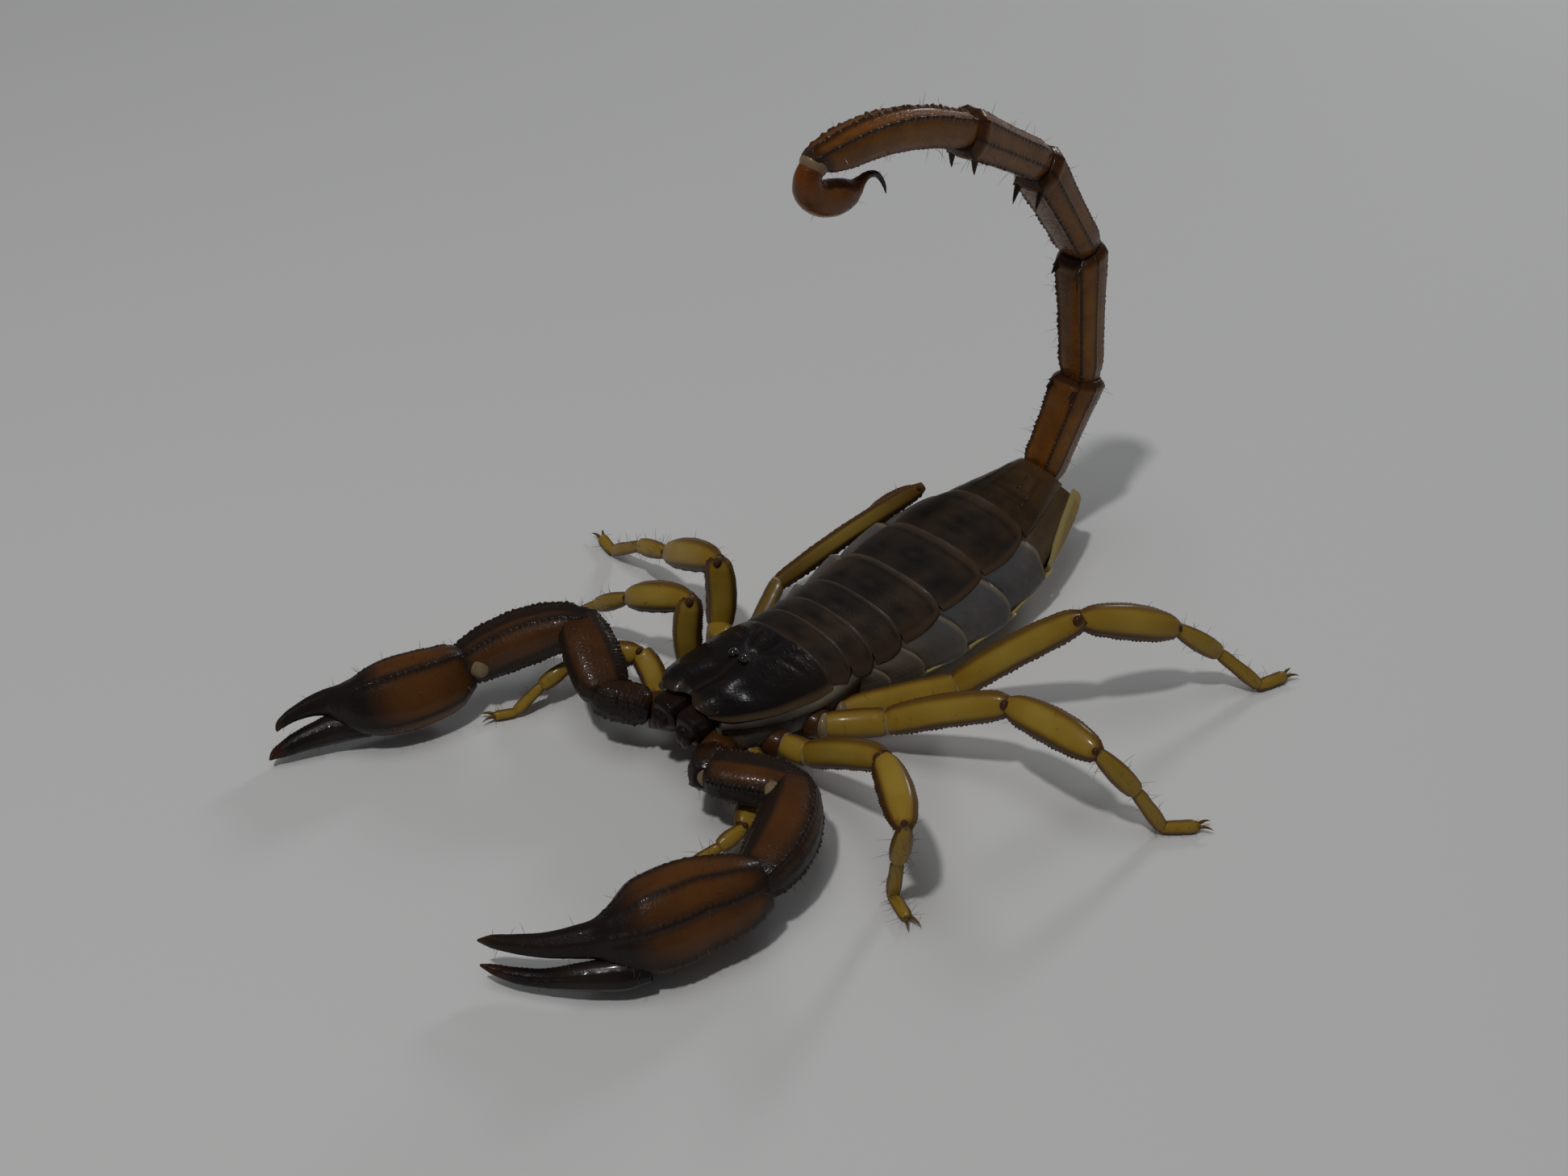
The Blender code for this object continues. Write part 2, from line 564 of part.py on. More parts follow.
def row_of_teeth(a, b, half, count, rng):
    """Small teeth along a leg length's lower edge."""
    axis, side, up = frame_of(Vector(b) - Vector(a), Vector((0, 0, 1)))
    teeth = []
    for k in range(count):
        t = 0.2 + 0.6 * k / (count - 1)
        root = Vector(a).lerp(Vector(b), t) - up * half * 0.9 + side * rng.uniform(-0.1, 0.1)
        teeth.append(spike(root, -up, 0.32, 0.2, 4))
    return teeth


def trochanter_shape(joints, size, extra):
    """The leg's short first length; extra swells it for the room it needs in the breast."""
    half = TROCHANTER_HALF * size
    sections = [(t, w + extra / half / LEG_FLATTEN, h + extra / half)
                for t, w, h in ((0.0, 1.15, 0.85), (0.4, 1.35, 1.0), (0.8, 1.3, 1.05), (1.25, 1.0, 0.9))]
    body = leg_part(joints, 0, sections, half)
    start = Vector(joints[0])
    out = (Vector(joints[1]) - start).normalized()
    cut(body, start + out * (0.02 - extra), -out)
    return body


def make_leg(label, joints, material):
    rng = random.Random(SEED + len(label) + int(label[-1]))
    points = [Vector(j) for j in joints]
    size = LEG_SIZE[label[-1]]
    points[5].z = 0.84 * BASITARSUS_HALF * size
    points[6].z = 0.9 * TELOTARSUS_HALF * size
    joints = points
    trochanter = trochanter_shape(joints, size, 0.0)
    femur = leg_part(joints, 1, ((-0.06, 0.8, 0.7), (0.08, 0.95, 0.8), (0.35, 1.05, 1.0), (0.7, 1.0, 1.05),
                                 (0.93, 0.9, 0.8), (1.08, 0.8, 0.62)), FEMUR_HALF * size, arch=0.25)
    trim_joint(femur, joints, 2, at_start=False)
    pieces = [femur, trochanter] + row_of_teeth(points[1], points[2], FEMUR_HALF * size, 6, rng)
    fuse(f"leg_{label}_femur", pieces, material)
    patella = leg_part(joints, 2, ((-0.08, 0.7, 0.5), (0.08, 0.85, 0.68), (0.3, 1.05, 0.95), (0.6, 1.1, 1.05),
                                   (0.88, 0.85, 0.72), (1.08, 0.7, 0.5)), PATELLA_HALF * size, arch=0.2)
    trim_joint(patella, joints, 2, at_start=True)
    trim_joint(patella, joints, 3, at_start=False)
    fuse(f"leg_{label}_patella", [patella], material)
    tibia = leg_part(joints, 3, ((-0.12, 0.9, 0.7), (0.15, 1.1, 0.85), (0.6, 1.15, 1.0), (1.03, 1.0, 0.85)),
                     TIBIA_HALF * size)
    trim_joint(tibia, joints, 3, at_start=True)
    basitarsus = leg_part(joints, 4, ((-0.06, 1.1, 1.0), (0.3, 1.05, 0.95), (0.85, 1.05, 0.95), (1.05, 0.9, 0.8)),
                          BASITARSUS_HALF * size)
    toe = points[5].lerp(points[6], 0.78)
    tarsus_joints = (points[5], toe)
    telotarsus = leg_part(tarsus_joints, 0, ((-0.15, 1.1, 1.05), (0.4, 1.25, 1.1), (1.0, 1.1, 0.9)),
                          TELOTARSUS_HALF * size)
    pieces = [tibia, basitarsus, telotarsus]
    axis, side, up = frame_of(points[6] - points[5], Vector((0, 0, 1)))
    for sign in (-1, 1):
        root = toe + side * (sign * 0.28) + up * 0.1
        pieces.append(spike(root, axis + side * (sign * 0.35) + up * 0.45, 1.1, 0.3, 5, bend=(0, 0, -0.45)))
    floor_cut = []
    for piece in pieces:
        cut(piece, (0, 0, 0), (0, 0, -1))
        floor_cut.append(piece)
    fuse(f"leg_{label}_foot", floor_cut, material)


def keel_teeth(a, b, up_hint, half_width, half_height, spots, count, radius, length):
    """Rows of blunt granules along the keels of a palp length."""
    axis, side, up = frame_of(Vector(b) - Vector(a), Vector(up_hint))
    teeth = []
    for sx, sz in spots:
        for k in range(count):
            t = 0.14 + 0.72 * k / (count - 1)
            normal = (side * sx + up * sz).normalized()
            root = Vector(a).lerp(Vector(b), t) + side * (sx * half_width * 0.66) + up * (sz * half_height * 0.66)
            root = root + normal * 0.12
            teeth.append(spike(root, normal, length, radius, 4))
    return teeth


def palp_trochanter(joints, extra):
    start, end = Vector(joints[0]), Vector(joints[1])
    out = (end - start).normalized()
    sections = [(t, w + extra, h + extra)
                for t, w, h in ((0.0, 1.15, 1.3), (0.45, 1.45, 1.6), (0.85, 1.45, 1.6), (1.3, 1.2, 1.3))]
    body = tube(start, end, sections, (0, 0, 1), 8)
    cut(body, start + out * (0.02 - extra), -out)
    return body


def make_palp(label, joints, material, dark):
    scale = PALP_SCALE[label]
    chain = [Vector(j) for j in joints]
    p0, p1, p2, p3, palm = chain
    trochanter = palp_trochanter(joints, 0.0)
    trim_joint(trochanter, chain, 1, at_start=False)
    fuse(f"palp_{label}_trochanter", [trochanter], material)

    w, h = 1.85 * scale, 1.6 * scale
    femur = tube(p1, p2, ((-0.2, 0.75 * w, 0.8 * h), (0.06, 0.95 * w, 0.95 * h), (0.4, w, h),
                          (0.8, 1.05 * w, 1.02 * h), (1.3, 0.8 * w, 0.8 * h)), (0, 0, 1), 8, power=3.2)
    trim_joint(femur, chain, 1, at_start=True)
    trim_joint(femur, chain, 2, at_start=False)
    pieces = [femur] + keel_teeth(p1, p2, (0, 0, 1), w * 1.3, h * 1.3, ((-1, 0.8), (1, 0.8), (-1, -0.8)),
                                  6, 0.28, 0.3)
    fuse(f"palp_{label}_femur", pieces, material)

    w, h = 2.2 * scale, 2.0 * scale
    patella = tube(p2, p3, ((-0.25, 0.7 * w, 0.7 * h), (0.05, 0.95 * w, 0.92 * h), (0.35, 1.08 * w, 1.05 * h),
                            (0.7, w, h), (0.92, 0.85 * w, 0.85 * h), (1.15, 0.65 * w, 0.65 * h)),
                   (0, 0, 1), 8, power=2.9)
    trim_joint(patella, chain, 2, at_start=True)
    trim_joint(patella, chain, 3, at_start=False)
    pieces = [patella] + keel_teeth(p2, p3, (0, 0, 1), w * 1.25, h * 1.25, ((-1, 0.8), (1, 0.8)), 6, 0.26, 0.28)
    fuse(f"palp_{label}_patella", pieces, material)
    make_chela(label, chain, material, dark)


def swept(stations, up_hint, sides, thin, power=2.4, extra=0.0):
    """A body through stations (x, y, z, half height); a last half height of 0 makes a point."""
    middles = [Vector(station_row[:3]) for station_row in stations]
    pointed = stations[-1][3] == 0.0
    rings = []
    for index, row in enumerate(stations):
        if pointed and index == len(stations) - 1:
            continue
        ahead = middles[min(index + 1, len(middles) - 1)] - middles[max(index - 1, 0)]
        _, side, up = frame_of(ahead, Vector(up_hint))
        rings.append(ring_at(middles[index], side, up, row[3] * thin + extra, row[3] + extra, sides, power))
    if not pointed:
        return skin_rings(rings)
    tip = middles[-1] + (middles[-1] - middles[-2]).normalized() * extra
    return skin_rings(rings, pointed_end=tip)


def make_chela(label, chain, material, dark):
    """Hand with its fixed finger, and the movable finger below it."""
    shape = HANDS[label]
    up = shape["up"]
    hand = swept(shape["hand"], up, 12, HAND_THICK, 2.3)
    trim_joint(hand, chain, 3, at_start=True)
    fixed = swept(shape["fixed"], up, 8, 0.85)
    movable = swept(shape["movable"], up, 8, 0.85)
    clearance = swept(shape["movable"], up, 8, 0.85, extra=GAP)
    for piece in (hand, fixed, movable):
        cut(piece, (0, 0, HAND_FLOOR), (0, 0, -1))
    pieces = [hand, fixed]
    near, far = Vector(shape["hand"][1][:3]), Vector(shape["hand"][5][:3])
    tall = shape["hand"][4][3]
    pieces += keel_teeth(near, far, up, tall * HAND_THICK * 1.3, tall * 1.28, ((-1, 0.75), (1, 0.75)),
                         6, 0.28, 0.22)
    manus = fuse(f"palp_{label}_manus", pieces, material)
    carve(manus, clearance)
    new_object(f"palp_{label}_finger", movable, dark)


def carve(obj, cutter_bm):
    """Cut a neighbour's room out of a body."""
    cutter = new_object(obj.name + "_cutter", cutter_bm)
    cutter.hide_render = True
    cutter.display_type = "WIRE"
    difference = obj.modifiers.new("room", "BOOLEAN")
    difference.operation = "DIFFERENCE"
    difference.object = cutter
    difference.solver = "MANIFOLD"
    apply_modifiers(obj)
    bpy.data.objects.remove(cutter, do_unlink=True)
    keep_largest(obj)


def build():
    shell = make_material("shell", (0.03, 0.02, 0.015), 0.3)
    plates = make_material("back_plates", (0.06, 0.045, 0.035), 0.35)
    membrane = make_material("membrane", (0.25, 0.26, 0.28), 0.4)
    amber = make_material("amber_tail", (0.25, 0.10, 0.03), 0.35)
    sting = make_material("red_brown", (0.2, 0.05, 0.02), 0.3)
    ochre = make_material("ochre_legs", (0.45, 0.28, 0.04), 0.4)
    orange = make_material("orange_brown", (0.2, 0.07, 0.02), 0.35)
    black = make_material("black_finger", (0.01, 0.008, 0.008), 0.2)
    eye = make_material("eye", (0.005, 0.005, 0.006), 0.1)
    make_carapace(shell)
    make_eyes(eye)
    make_underside(orange)
    make_chelicerae(shell)
    make_back_plates(plates)
    make_belly(membrane)
    make_pectines(ochre)
    make_tail(amber, sting)
    for label, joints in LEGS.items():
        make_leg(label, joints, ochre)
    for label, joints in PALPS.items():
        make_palp(label, joints, orange, black)


clear_scene()
PARTS = bpy.data.collections.new("flinders_ranges_scorpion")
bpy.context.scene.collection.children.link(PARTS)
build()
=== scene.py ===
"""Flinders Ranges scorpion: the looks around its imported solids, for Blender 4.5."""
import math

import bpy
import numpy as np
from mathutils import Matrix, Vector


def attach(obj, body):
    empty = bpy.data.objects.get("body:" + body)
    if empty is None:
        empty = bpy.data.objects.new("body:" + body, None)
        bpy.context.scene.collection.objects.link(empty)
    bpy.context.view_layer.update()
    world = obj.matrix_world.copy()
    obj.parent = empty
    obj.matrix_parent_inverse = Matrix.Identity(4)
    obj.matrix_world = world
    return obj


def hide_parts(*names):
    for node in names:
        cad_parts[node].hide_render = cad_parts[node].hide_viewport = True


bl_info = {
    "name": "Flinders Ranges Scorpion",
    "version": (1, 0, 0),
    "blender": (4, 5, 0),
    "location": "3D View > Sidebar > Scorpion",
    "description": "Builds a life-size burrowing scorpion in an alert pose",
    "category": "Add Mesh",
}

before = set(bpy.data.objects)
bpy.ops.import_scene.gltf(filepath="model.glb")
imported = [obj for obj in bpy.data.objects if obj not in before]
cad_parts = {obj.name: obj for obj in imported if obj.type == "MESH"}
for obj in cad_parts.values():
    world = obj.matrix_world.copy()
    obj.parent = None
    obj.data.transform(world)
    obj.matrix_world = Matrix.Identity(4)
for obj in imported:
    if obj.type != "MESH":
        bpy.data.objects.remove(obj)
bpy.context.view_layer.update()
MM = 0.001
UP = (0.0, 0.0, 1.0)
SIDES = (("left", 1), ("right", -1))

# Sizes and places are millimetres in the frame's own axes, unless a line says otherwise
# Trunk stations: y, half width of the back plates, top height, height of their lower edge
TRUNK = np.array((
    (-11.8, 5.5, 7.5, 4.9), (-9.4, 5.6, 7.4, 4.7), (-6.8, 5.7, 7.2, 4.6), (-3.4, 5.75, 7.0, 4.9),
    (1.4, 5.7, 6.95, 5.6), (7.0, 5.3, 7.4, 6.3), (13.4, 4.6, 8.2, 6.7), (22.4, 2.45, 9.3, 7.3),
))
# Belly stations: y, half width, bottom height, lean toward the left side
BELLY = np.array((
    (-10.2, 4.8, 2.2, 0.0), (-6.8, 6.7, 1.4, 0.0), (-3.4, 7.4, 1.1, 0.0), (1.4, 7.9, 1.0, 0.15),
    (7.0, 7.8, 1.3, 0.4), (13.4, 6.5, 2.3, 0.6), (18.0, 5.1, 3.4, 0.5), (21.2, 3.7, 4.4, 0.4),
    (23.6, 2.3, 5.2, 0.3),
))
LAST_PLATE = 6
# Places of the last back plate's keels, as shares of its half width
LAST_PLATE_KEELS = (-0.62, -0.3, 0.3, 0.62)
LAST_BELLY_REAR = 22.0
SOFT_FRONT = -10.15
SOFT_REAR = 23.35
# No point of these forms goes lower than this
SHIELD_LOWEST = 4.52
PLATE_LOWEST = 4.08
SOFT_LOWEST = 1.02
BELLY_LOWEST = 1.01
# Thicknesses of the head shield and the belly plates, in metres
SHIELD_THICKNESS = 0.00045
BELLY_PLATE_THICKNESS = 0.0002
# Head shield stations: y, half width, top height, lower edge height, depth of the middle furrow
CARAPACE = np.array((
    (-23.7, 2.7, 8.1, 7.1, 0.6), (-22.6, 3.7, 8.6, 6.8, 0.95), (-20.6, 4.6, 8.7, 6.4, 1.0),
    (-18.4, 5.2, 8.2, 5.9, 0.5), (-16.0, 5.5, 8.1, 5.4, 0.5), (-13.8, 5.7, 8.0, 5.0, 0.5),
    (-12.1, 5.6, 7.7, 4.8, 0.2),
))
NOTCH_DEPTH = 1.05
EYE_HILL = 0.7
# The soft skin under the shield's side runs on under the first two back plates
SIDE_SKIN_REAR = ((-10.2, 5.55, 7.5, 4.7, 0.0), (-8.6, 5.5, 7.3, 4.3, 0.0))
# Half widths and half heights of the skin fold and of the flank below it
FOLD_SIZES = ((0.32, 0.34), (0.37, 0.4), (0.42, 0.46), (0.46, 0.52), (0.5, 0.58), (0.52, 0.64), (0.5, 0.7),
              (0.35, 0.5))
FLANK_SIZES = ((0.8, 1.45), (1.0, 1.4), (1.1, 1.3), (1.15, 1.25), (1.15, 1.2), (1.2, 1.25), (1.25, 1.3),
               (1.0, 1.2))
EYE_MIDDLE = (0.56, -17.34, 8.5)
EYE_RADII = (0.46, 0.42, 0.46)
# The front one of the three small side eyes, and the step from each to the next
SIDE_EYE_FIRST = (3.05, -22.55, 7.72)
SIDE_EYE_STEP = (0.28, 0.4, -0.14)
SIDE_EYE_RADII = (0.17, 0.15, 0.16)

TAIL_JOINTS = (
    (0.0, 21.2, 7.6), (0.5, 25.1, 16.6), (-0.6, 24.6, 29.2),
    (-0.9, 17.4, 39.3), (-0.4, 7.2, 45.4), (-0.3, -8.9, 48.2),
)
# Half width and half height of each tail length
TAIL_HALF = ((2.05, 1.95), (1.9, 1.85), (1.85, 1.8), (1.75, 1.75), (1.5, 1.35))
SPUR_LENGTH = (1.0, 1.1, 1.7, 1.4)
# Normals of the planes where the tail starts and where the sting does
TAIL_ENTRY = (0.03, 0.77, 0.635)
TAIL_LEAVE = (0.0, -0.75, -0.66)
# The point that the tail curls round
TAIL_CENTRE = (0.0, 6.0, 22.0)
# Sting stations from the bulb's root to the tip: y, z, radius
TELSON = ((-9.0, 48.0, 0.95), (-9.5, 47.3, 1.02), (-9.45, 46.4, 1.14), (-8.75, 45.6, 1.26),
          (-7.6, 45.05, 1.37), (-6.4, 44.8, 1.33), (-5.4, 44.72, 1.08), (-4.6, 44.85, 0.72),
          (-4.05, 45.1, 0.46), (-3.35, 45.35, 0.31), (-2.5, 45.2, 0.25), (-1.8, 44.55, 0.2),
          (-1.4, 43.85, 0.14), (-1.2, 43.2, 0.04))
STING_SKIN_PLACE = (-0.3, -8.95, 48.1)
STING_SKIN_RADII = (0.8, 1.05, 1.1)

# Leg joints: coxa end, trochanter end, knee, patella end, tibia end, basitarsus end, claw tip
LEGS = {
    "left_1": ((4.4, -20.3, 2.7), (5.8, -20.9, 2.5), (8.3, -23.1, 2.2), (9.5, -26.1, 2.2),
               (9.2, -28.4, 1.6), (8.2, -30.5, 0.62), (7.5, -32.5, 0.5)),
    "left_2": ((5.9, -18.0, 3.2), (8.3, -17.8, 3.6), (16.3, -18.1, 8.7), (22.6, -22.6, 9.0),
               (21.9, -22.4, 5.0), (21.2, -22.0, 0.62), (24.3, -23.2, 0.5)),
    "left_3": ((6.3, -14.0, 3.0), (10.0, -10.4, 3.4), (18.2, -5.7, 7.4), (27.0, -5.7, 8.0),
               (29.5, -3.6, 4.3), (31.4, -2.0, 0.62), (33.9, 0.8, 0.5)),
    "left_4": ((5.6, -11.3, 2.4), (10.6, -2.5, 2.8), (17.9, 3.4, 10.6), (22.1, 11.3, 7.5),
               (24.3, 14.9, 4.1), (27.2, 17.6, 0.62), (28.3, 21.1, 0.5)),
    "right_1": ((-4.6, -20.3, 2.9), (-6.3, -20.6, 2.9), (-9.0, -20.0, 5.2), (-13.6, -23.8, 3.5),
                (-14.3, -26.4, 2.3), (-15.0, -28.9, 0.62), (-16.2, -30.9, 0.5)),
    "right_2": ((-5.6, -17.6, 3.2), (-6.7, -16.6, 3.2), (-6.7, -16.3, 10.0), (-13.6, -17.1, 6.8),
                (-17.4, -17.4, 4.1), (-21.4, -17.8, 0.62), (-24.0, -19.4, 0.5)),
    "right_3": ((-6.0, -14.0, 2.9), (-8.9, -11.0, 2.9), (-9.4, -10.6, 9.5), (-17.2, -9.4, 5.5),
                (-21.7, -8.6, 3.5), (-26.1, -8.4, 0.62), (-29.1, -7.5, 0.5)),
    "right_4": ((-5.5, -11.3, 2.3), (-10.3, -2.6, 2.1), (-7.7, 13.0, 5.8), (-11.0, 9.8, 2.2),
                (-9.8, 12.7, 1.4), (-8.4, 14.6, 0.62), (-7.6, 16.7, 0.5)),
}
LEG_SIZE = {"left_1": 0.8, "left_2": 0.92, "left_3": 1.0, "left_4": 1.0,
            "right_1": 0.8, "right_2": 0.88, "right_3": 0.95, "right_4": 0.66}
# The leg behind the body lies in its shade and is browner all over
LEG_SHADE = {"right_4": 0.8}
LEG_FLATTEN = 0.72
# The legs' flat faces are turned this way, so that their two beaded edges run above and below
LEG_FACE = (0.5547, -0.5596, 0.6157)

# Pedipalp joints: coxa end, trochanter end, elbow, wrist, middle of the hand
PALPS = {
    "left": ((3.7, -23.6, 4.2), (5.2, -25.9, 5.0), (11.2, -22.4, 5.2), (15.6, -31.1, 4.5),
             (13.5, -38.0, 4.1)),
    "right": ((-3.9, -23.5, 4.3), (-6.9, -25.4, 5.0), (-12.9, -23.0, 7.8), (-19.2, -30.9, 4.1),
              (-20.0, -35.8, 3.9)),
}
PALP_SCALE = {"left": 1.0, "right": 0.92}
UPPER_ARM_HALF = {"left": (1.85, 1.6), "right": (2.15, 1.6)}
UPPER_ARM_SHADE = {"left": 0.12, "right": 0.3}
# Radius of the skin between an arm's base and its upper arm
ARM_BASE_SKIN = {"left": 1.35, "right": 1.12}
# The pale patch inside the left elbow and the one near the right wrist: place, radii
ARM_PATCHES = {"left": ((11.0, -24.4, 5.9), (0.85, 0.7, 0.75)),
               "right": ((-17.43, -30.33, 5.12), (0.92, 0.53, 1.2))}
# Hand stations run from the wrist to the tip of the fixed finger: x, y, z of the middle, half height there.
# Keels: angle, share of the bead height, width, number of beads, width of the stain
HANDS = {
    "left": {
        "up": (-0.51, 0.26, 0.82),
        "palm": ((16.0, -30.6, 4.4, 2.1), (15.5, -32.2, 4.3, 2.85), (14.9, -33.8, 4.2, 3.3),
                 (14.1, -35.6, 4.15, 3.6), (13.4, -38.0, 4.1, 3.7), (12.7, -39.8, 4.0, 3.34),
                 (11.9, -41.5, 4.0, 2.1), (11.3, -42.3, 3.9, 1.5), (10.3, -43.6, 3.8, 1.15),
                 (9.0, -45.0, 3.6, 0.9), (6.8, -46.6, 3.3, 0.62), (5.3, -47.5, 3.1, 0.36),
                 (4.62, -47.95, 3.0, 0.08)),
        "finger": ((15.1, -40.7, 2.2, 0.73), (13.8, -41.9, 2.0, 1.23), (12.5, -43.4, 1.9, 1.14),
                   (11.3, -44.7, 1.8, 0.94), (9.9, -45.9, 1.5, 0.73), (7.6, -47.5, 1.4, 0.54),
                   (6.2, -48.3, 1.6, 0.28), (5.65, -48.68, 1.8, 0.08)),
        "keels": ((92, 1.0, 0.26, 31, 0.5), (132, 0.4, 0.24, 27, 0.28), (175, 1.0, 0.28, 33, 0.52),
                  (236, 0.8, 0.3, 29, 0.7), (20, 0.7, 0.2, 27, 0.3), (320, 0.7, 0.2, 27, 0.3)),
    },
    "right": {
        "up": (-0.487, 0.10, 0.868),
        "palm": ((-19.0, -30.5, 4.0, 1.95), (-19.2, -31.7, 3.9, 2.6), (-19.3, -33.2, 3.85, 2.95),
                 (-19.6, -34.6, 3.9, 3.1), (-20.2, -36.4, 3.9, 3.15), (-20.9, -38.0, 3.8, 2.95),
                 (-21.6, -39.2, 3.8, 2.5), (-22.6, -40.2, 3.8, 1.75), (-23.6, -41.1, 3.8, 1.15),
                 (-24.2, -42.1, 3.7, 0.85), (-24.6, -43.1, 3.5, 0.64), (-24.9, -44.2, 3.2, 0.46),
                 (-24.9, -45.0, 2.9, 0.3), (-24.8, -45.35, 2.62, 0.08)),
        "finger": ((-20.3, -39.4, 2.2, 0.81), (-21.4, -40.4, 2.1, 1.05), (-22.5, -41.5, 1.9, 1.22),
                   (-23.1, -42.8, 1.7, 1.07), (-23.6, -44.1, 1.5, 0.88), (-24.0, -45.4, 1.2, 0.64),
                   (-24.2, -46.3, 1.0, 0.36), (-24.05, -46.82, 0.95, 0.08)),
        "keels": ((95, 0.7, 0.2, 31, 0.32), (136, 1.1, 0.22, 33, 0.44), (226, 0.25, 0.3, 20, 0.26),
                  (272, 0.6, 0.2, 27, 0.3), (320, 0.7, 0.2, 27, 0.3), (30, 0.7, 0.2, 27, 0.3)),
    },
}
HAND_THICK = 0.78
# Upper arm and forearm: ridge angles; the dark side's middle angle, half width and strength; the broad
# face's angle
ARM_SIDES = {
    "left": (((22, 129, 218, 305), (-10, 46, 0.95), 39), ((24, 132, 198, 300), (168, 36, 0.6), 110)),
    "right": (((30, 172, 330, 250), (200, 10, 0.8), 104), ((52, 118, 226, 310), (240, 12, 0.7), 142)),
}

# The camera looks from the front left and above
CAMERA_PLACE = (86.02, -98.94, 108.03)
CAMERA_BACK = (0.5547, -0.5596, 0.6157)
CAMERA_LENS = 44.44
SENSOR_WIDTH = 36.0
# Lamps: name, place in metres, diameter, power, colour
LAMPS = (
    ("key", (0.032, -0.195, 0.46), 0.035, 0.68, (1.0, 0.99, 0.97)),
    ("window", (-0.10, 0.45, 0.22), 0.09, 0.36, (0.97, 0.98, 1.0)),
    ("ceiling", (-0.10, -0.05, 0.80), 0.50, 0.85, (1.0, 1.0, 1.0)),
)
LAMP_TARGET = (0, 0, 0.01)
SKY_COLOUR = (0.93, 0.96, 1.0, 1.0)
SKY_STRENGTH = 0.08
FLOOR_COLOUR = (0.70, 0.70, 0.70, 1.0)
FLOOR_HEIGHT = -0.00002


class ScorpionFinish(bpy.types.PropertyGroup):
    """Colours of the shell and skin."""

    shell: bpy.props.FloatVectorProperty(
        name="Head shield", description="Near-black of the head shield and finger tips", subtype="COLOR",
        size=3, default=(0.007, 0.006, 0.006), min=0.0, max=1.0)
    back: bpy.props.FloatVectorProperty(
        name="Back plates", description="Dark brown grey of the back plates", subtype="COLOR",
        size=3, default=(0.046, 0.028, 0.017), min=0.0, max=1.0)
    rim: bpy.props.FloatVectorProperty(
        name="Plate rims", description="Tan rear rim of each back plate", subtype="COLOR",
        size=3, default=(0.088, 0.052, 0.029), min=0.0, max=1.0)
    side_skin: bpy.props.FloatVectorProperty(
        name="Side skin", description="Blue grey of the soft sides", subtype="COLOR",
        size=3, default=(0.112, 0.098, 0.088), min=0.0, max=1.0)
    amber: bpy.props.FloatVectorProperty(
        name="Tail", description="Amber brown of the tail", subtype="COLOR",
        size=3, default=(0.235, 0.084, 0.007), min=0.0, max=1.0)
    ochre: bpy.props.FloatVectorProperty(
        name="Legs", description="Ochre yellow of the legs", subtype="COLOR",
        size=3, default=(0.340, 0.205, 0.022), min=0.0, max=1.0)
    claw_arm: bpy.props.FloatVectorProperty(
        name="Claw arms", description="Orange brown of the claw arms", subtype="COLOR",
        size=3, default=(0.092, 0.035, 0.009), min=0.0, max=1.0)
    cream: bpy.props.FloatVectorProperty(
        name="Joint skin", description="Cream of the skin in the joints", subtype="COLOR",
        size=3, default=(0.42, 0.34, 0.20), min=0.0, max=1.0)
    dark_edge: bpy.props.FloatVectorProperty(
        name="Ridges", description="Black brown of the beaded ridges", subtype="COLOR",
        size=3, default=(0.012, 0.008, 0.006), min=0.0, max=1.0)
    red_tip: bpy.props.FloatVectorProperty(
        name="Tips", description="Dark red of the finger tips and sting bulb", subtype="COLOR",
        size=3, default=(0.060, 0.014, 0.007), min=0.0, max=1.0)


class ScorpionSizes(bpy.types.PropertyGroup):
    """Sizes of the fine detail."""

    seta_length: bpy.props.FloatProperty(
        name="Seta length", description="Length of a typical bristle", unit="LENGTH", default=0.0011,
        min=0.0002, max=0.004)
    seta_radius: bpy.props.FloatProperty(
        name="Seta radius", description="Radius of a bristle at its root", unit="LENGTH", default=0.00002,
        min=0.000005, max=0.0002)
    bead_height: bpy.props.FloatProperty(
        name="Bead height", description="How far the beads stand out of a ridge", unit="LENGTH",
        default=0.0002, min=0.0, max=0.0006)
    plate_thickness: bpy.props.FloatProperty(
        name="Plate thickness", description="Thickness of the back plates", unit="LENGTH", default=0.0004,
        min=0.0002, max=0.0009)
    floor_size: bpy.props.FloatProperty(
        name="Floor size", description="Side of the pale floor", unit="LENGTH", default=3.0, min=0.5,
        max=10.0)


def finish():
    return bpy.context.scene.scorpion_finish


def sizes():
    return bpy.context.scene.scorpion_sizes


# Curves and frames


def ease(knots, values, at):
    """Smooth curve through the knots, read at each place."""
    knots, values = np.asarray(knots, float), np.asarray(values, float)
    slope = np.gradient(values, knots, axis=0)
    i = np.clip(np.searchsorted(knots, at) - 1, 0, len(knots) - 2)
    step = knots[i + 1] - knots[i]
    s = np.clip((at - knots[i]) / step, 0.0, 1.0)
    if values.ndim == 2:
        step, s = step[:, None], s[:, None]
    return ((2 * s ** 3 - 3 * s ** 2 + 1) * values[i] + (s ** 3 - 2 * s ** 2 + s) * step * slope[i]
            + (3 * s ** 2 - 2 * s ** 3) * values[i + 1] + (s ** 3 - s ** 2) * step * slope[i + 1])


def unit(rows):
    rows = np.asarray(rows, float)
    return rows / np.linalg.norm(rows, axis=-1, keepdims=True)


def joint_normal(before, joint, after):
    """Normal of the plane that halves a joint's bend."""
    into = unit(np.subtract(joint, before))
    return unit(into + unit(np.subtract(after, joint)))


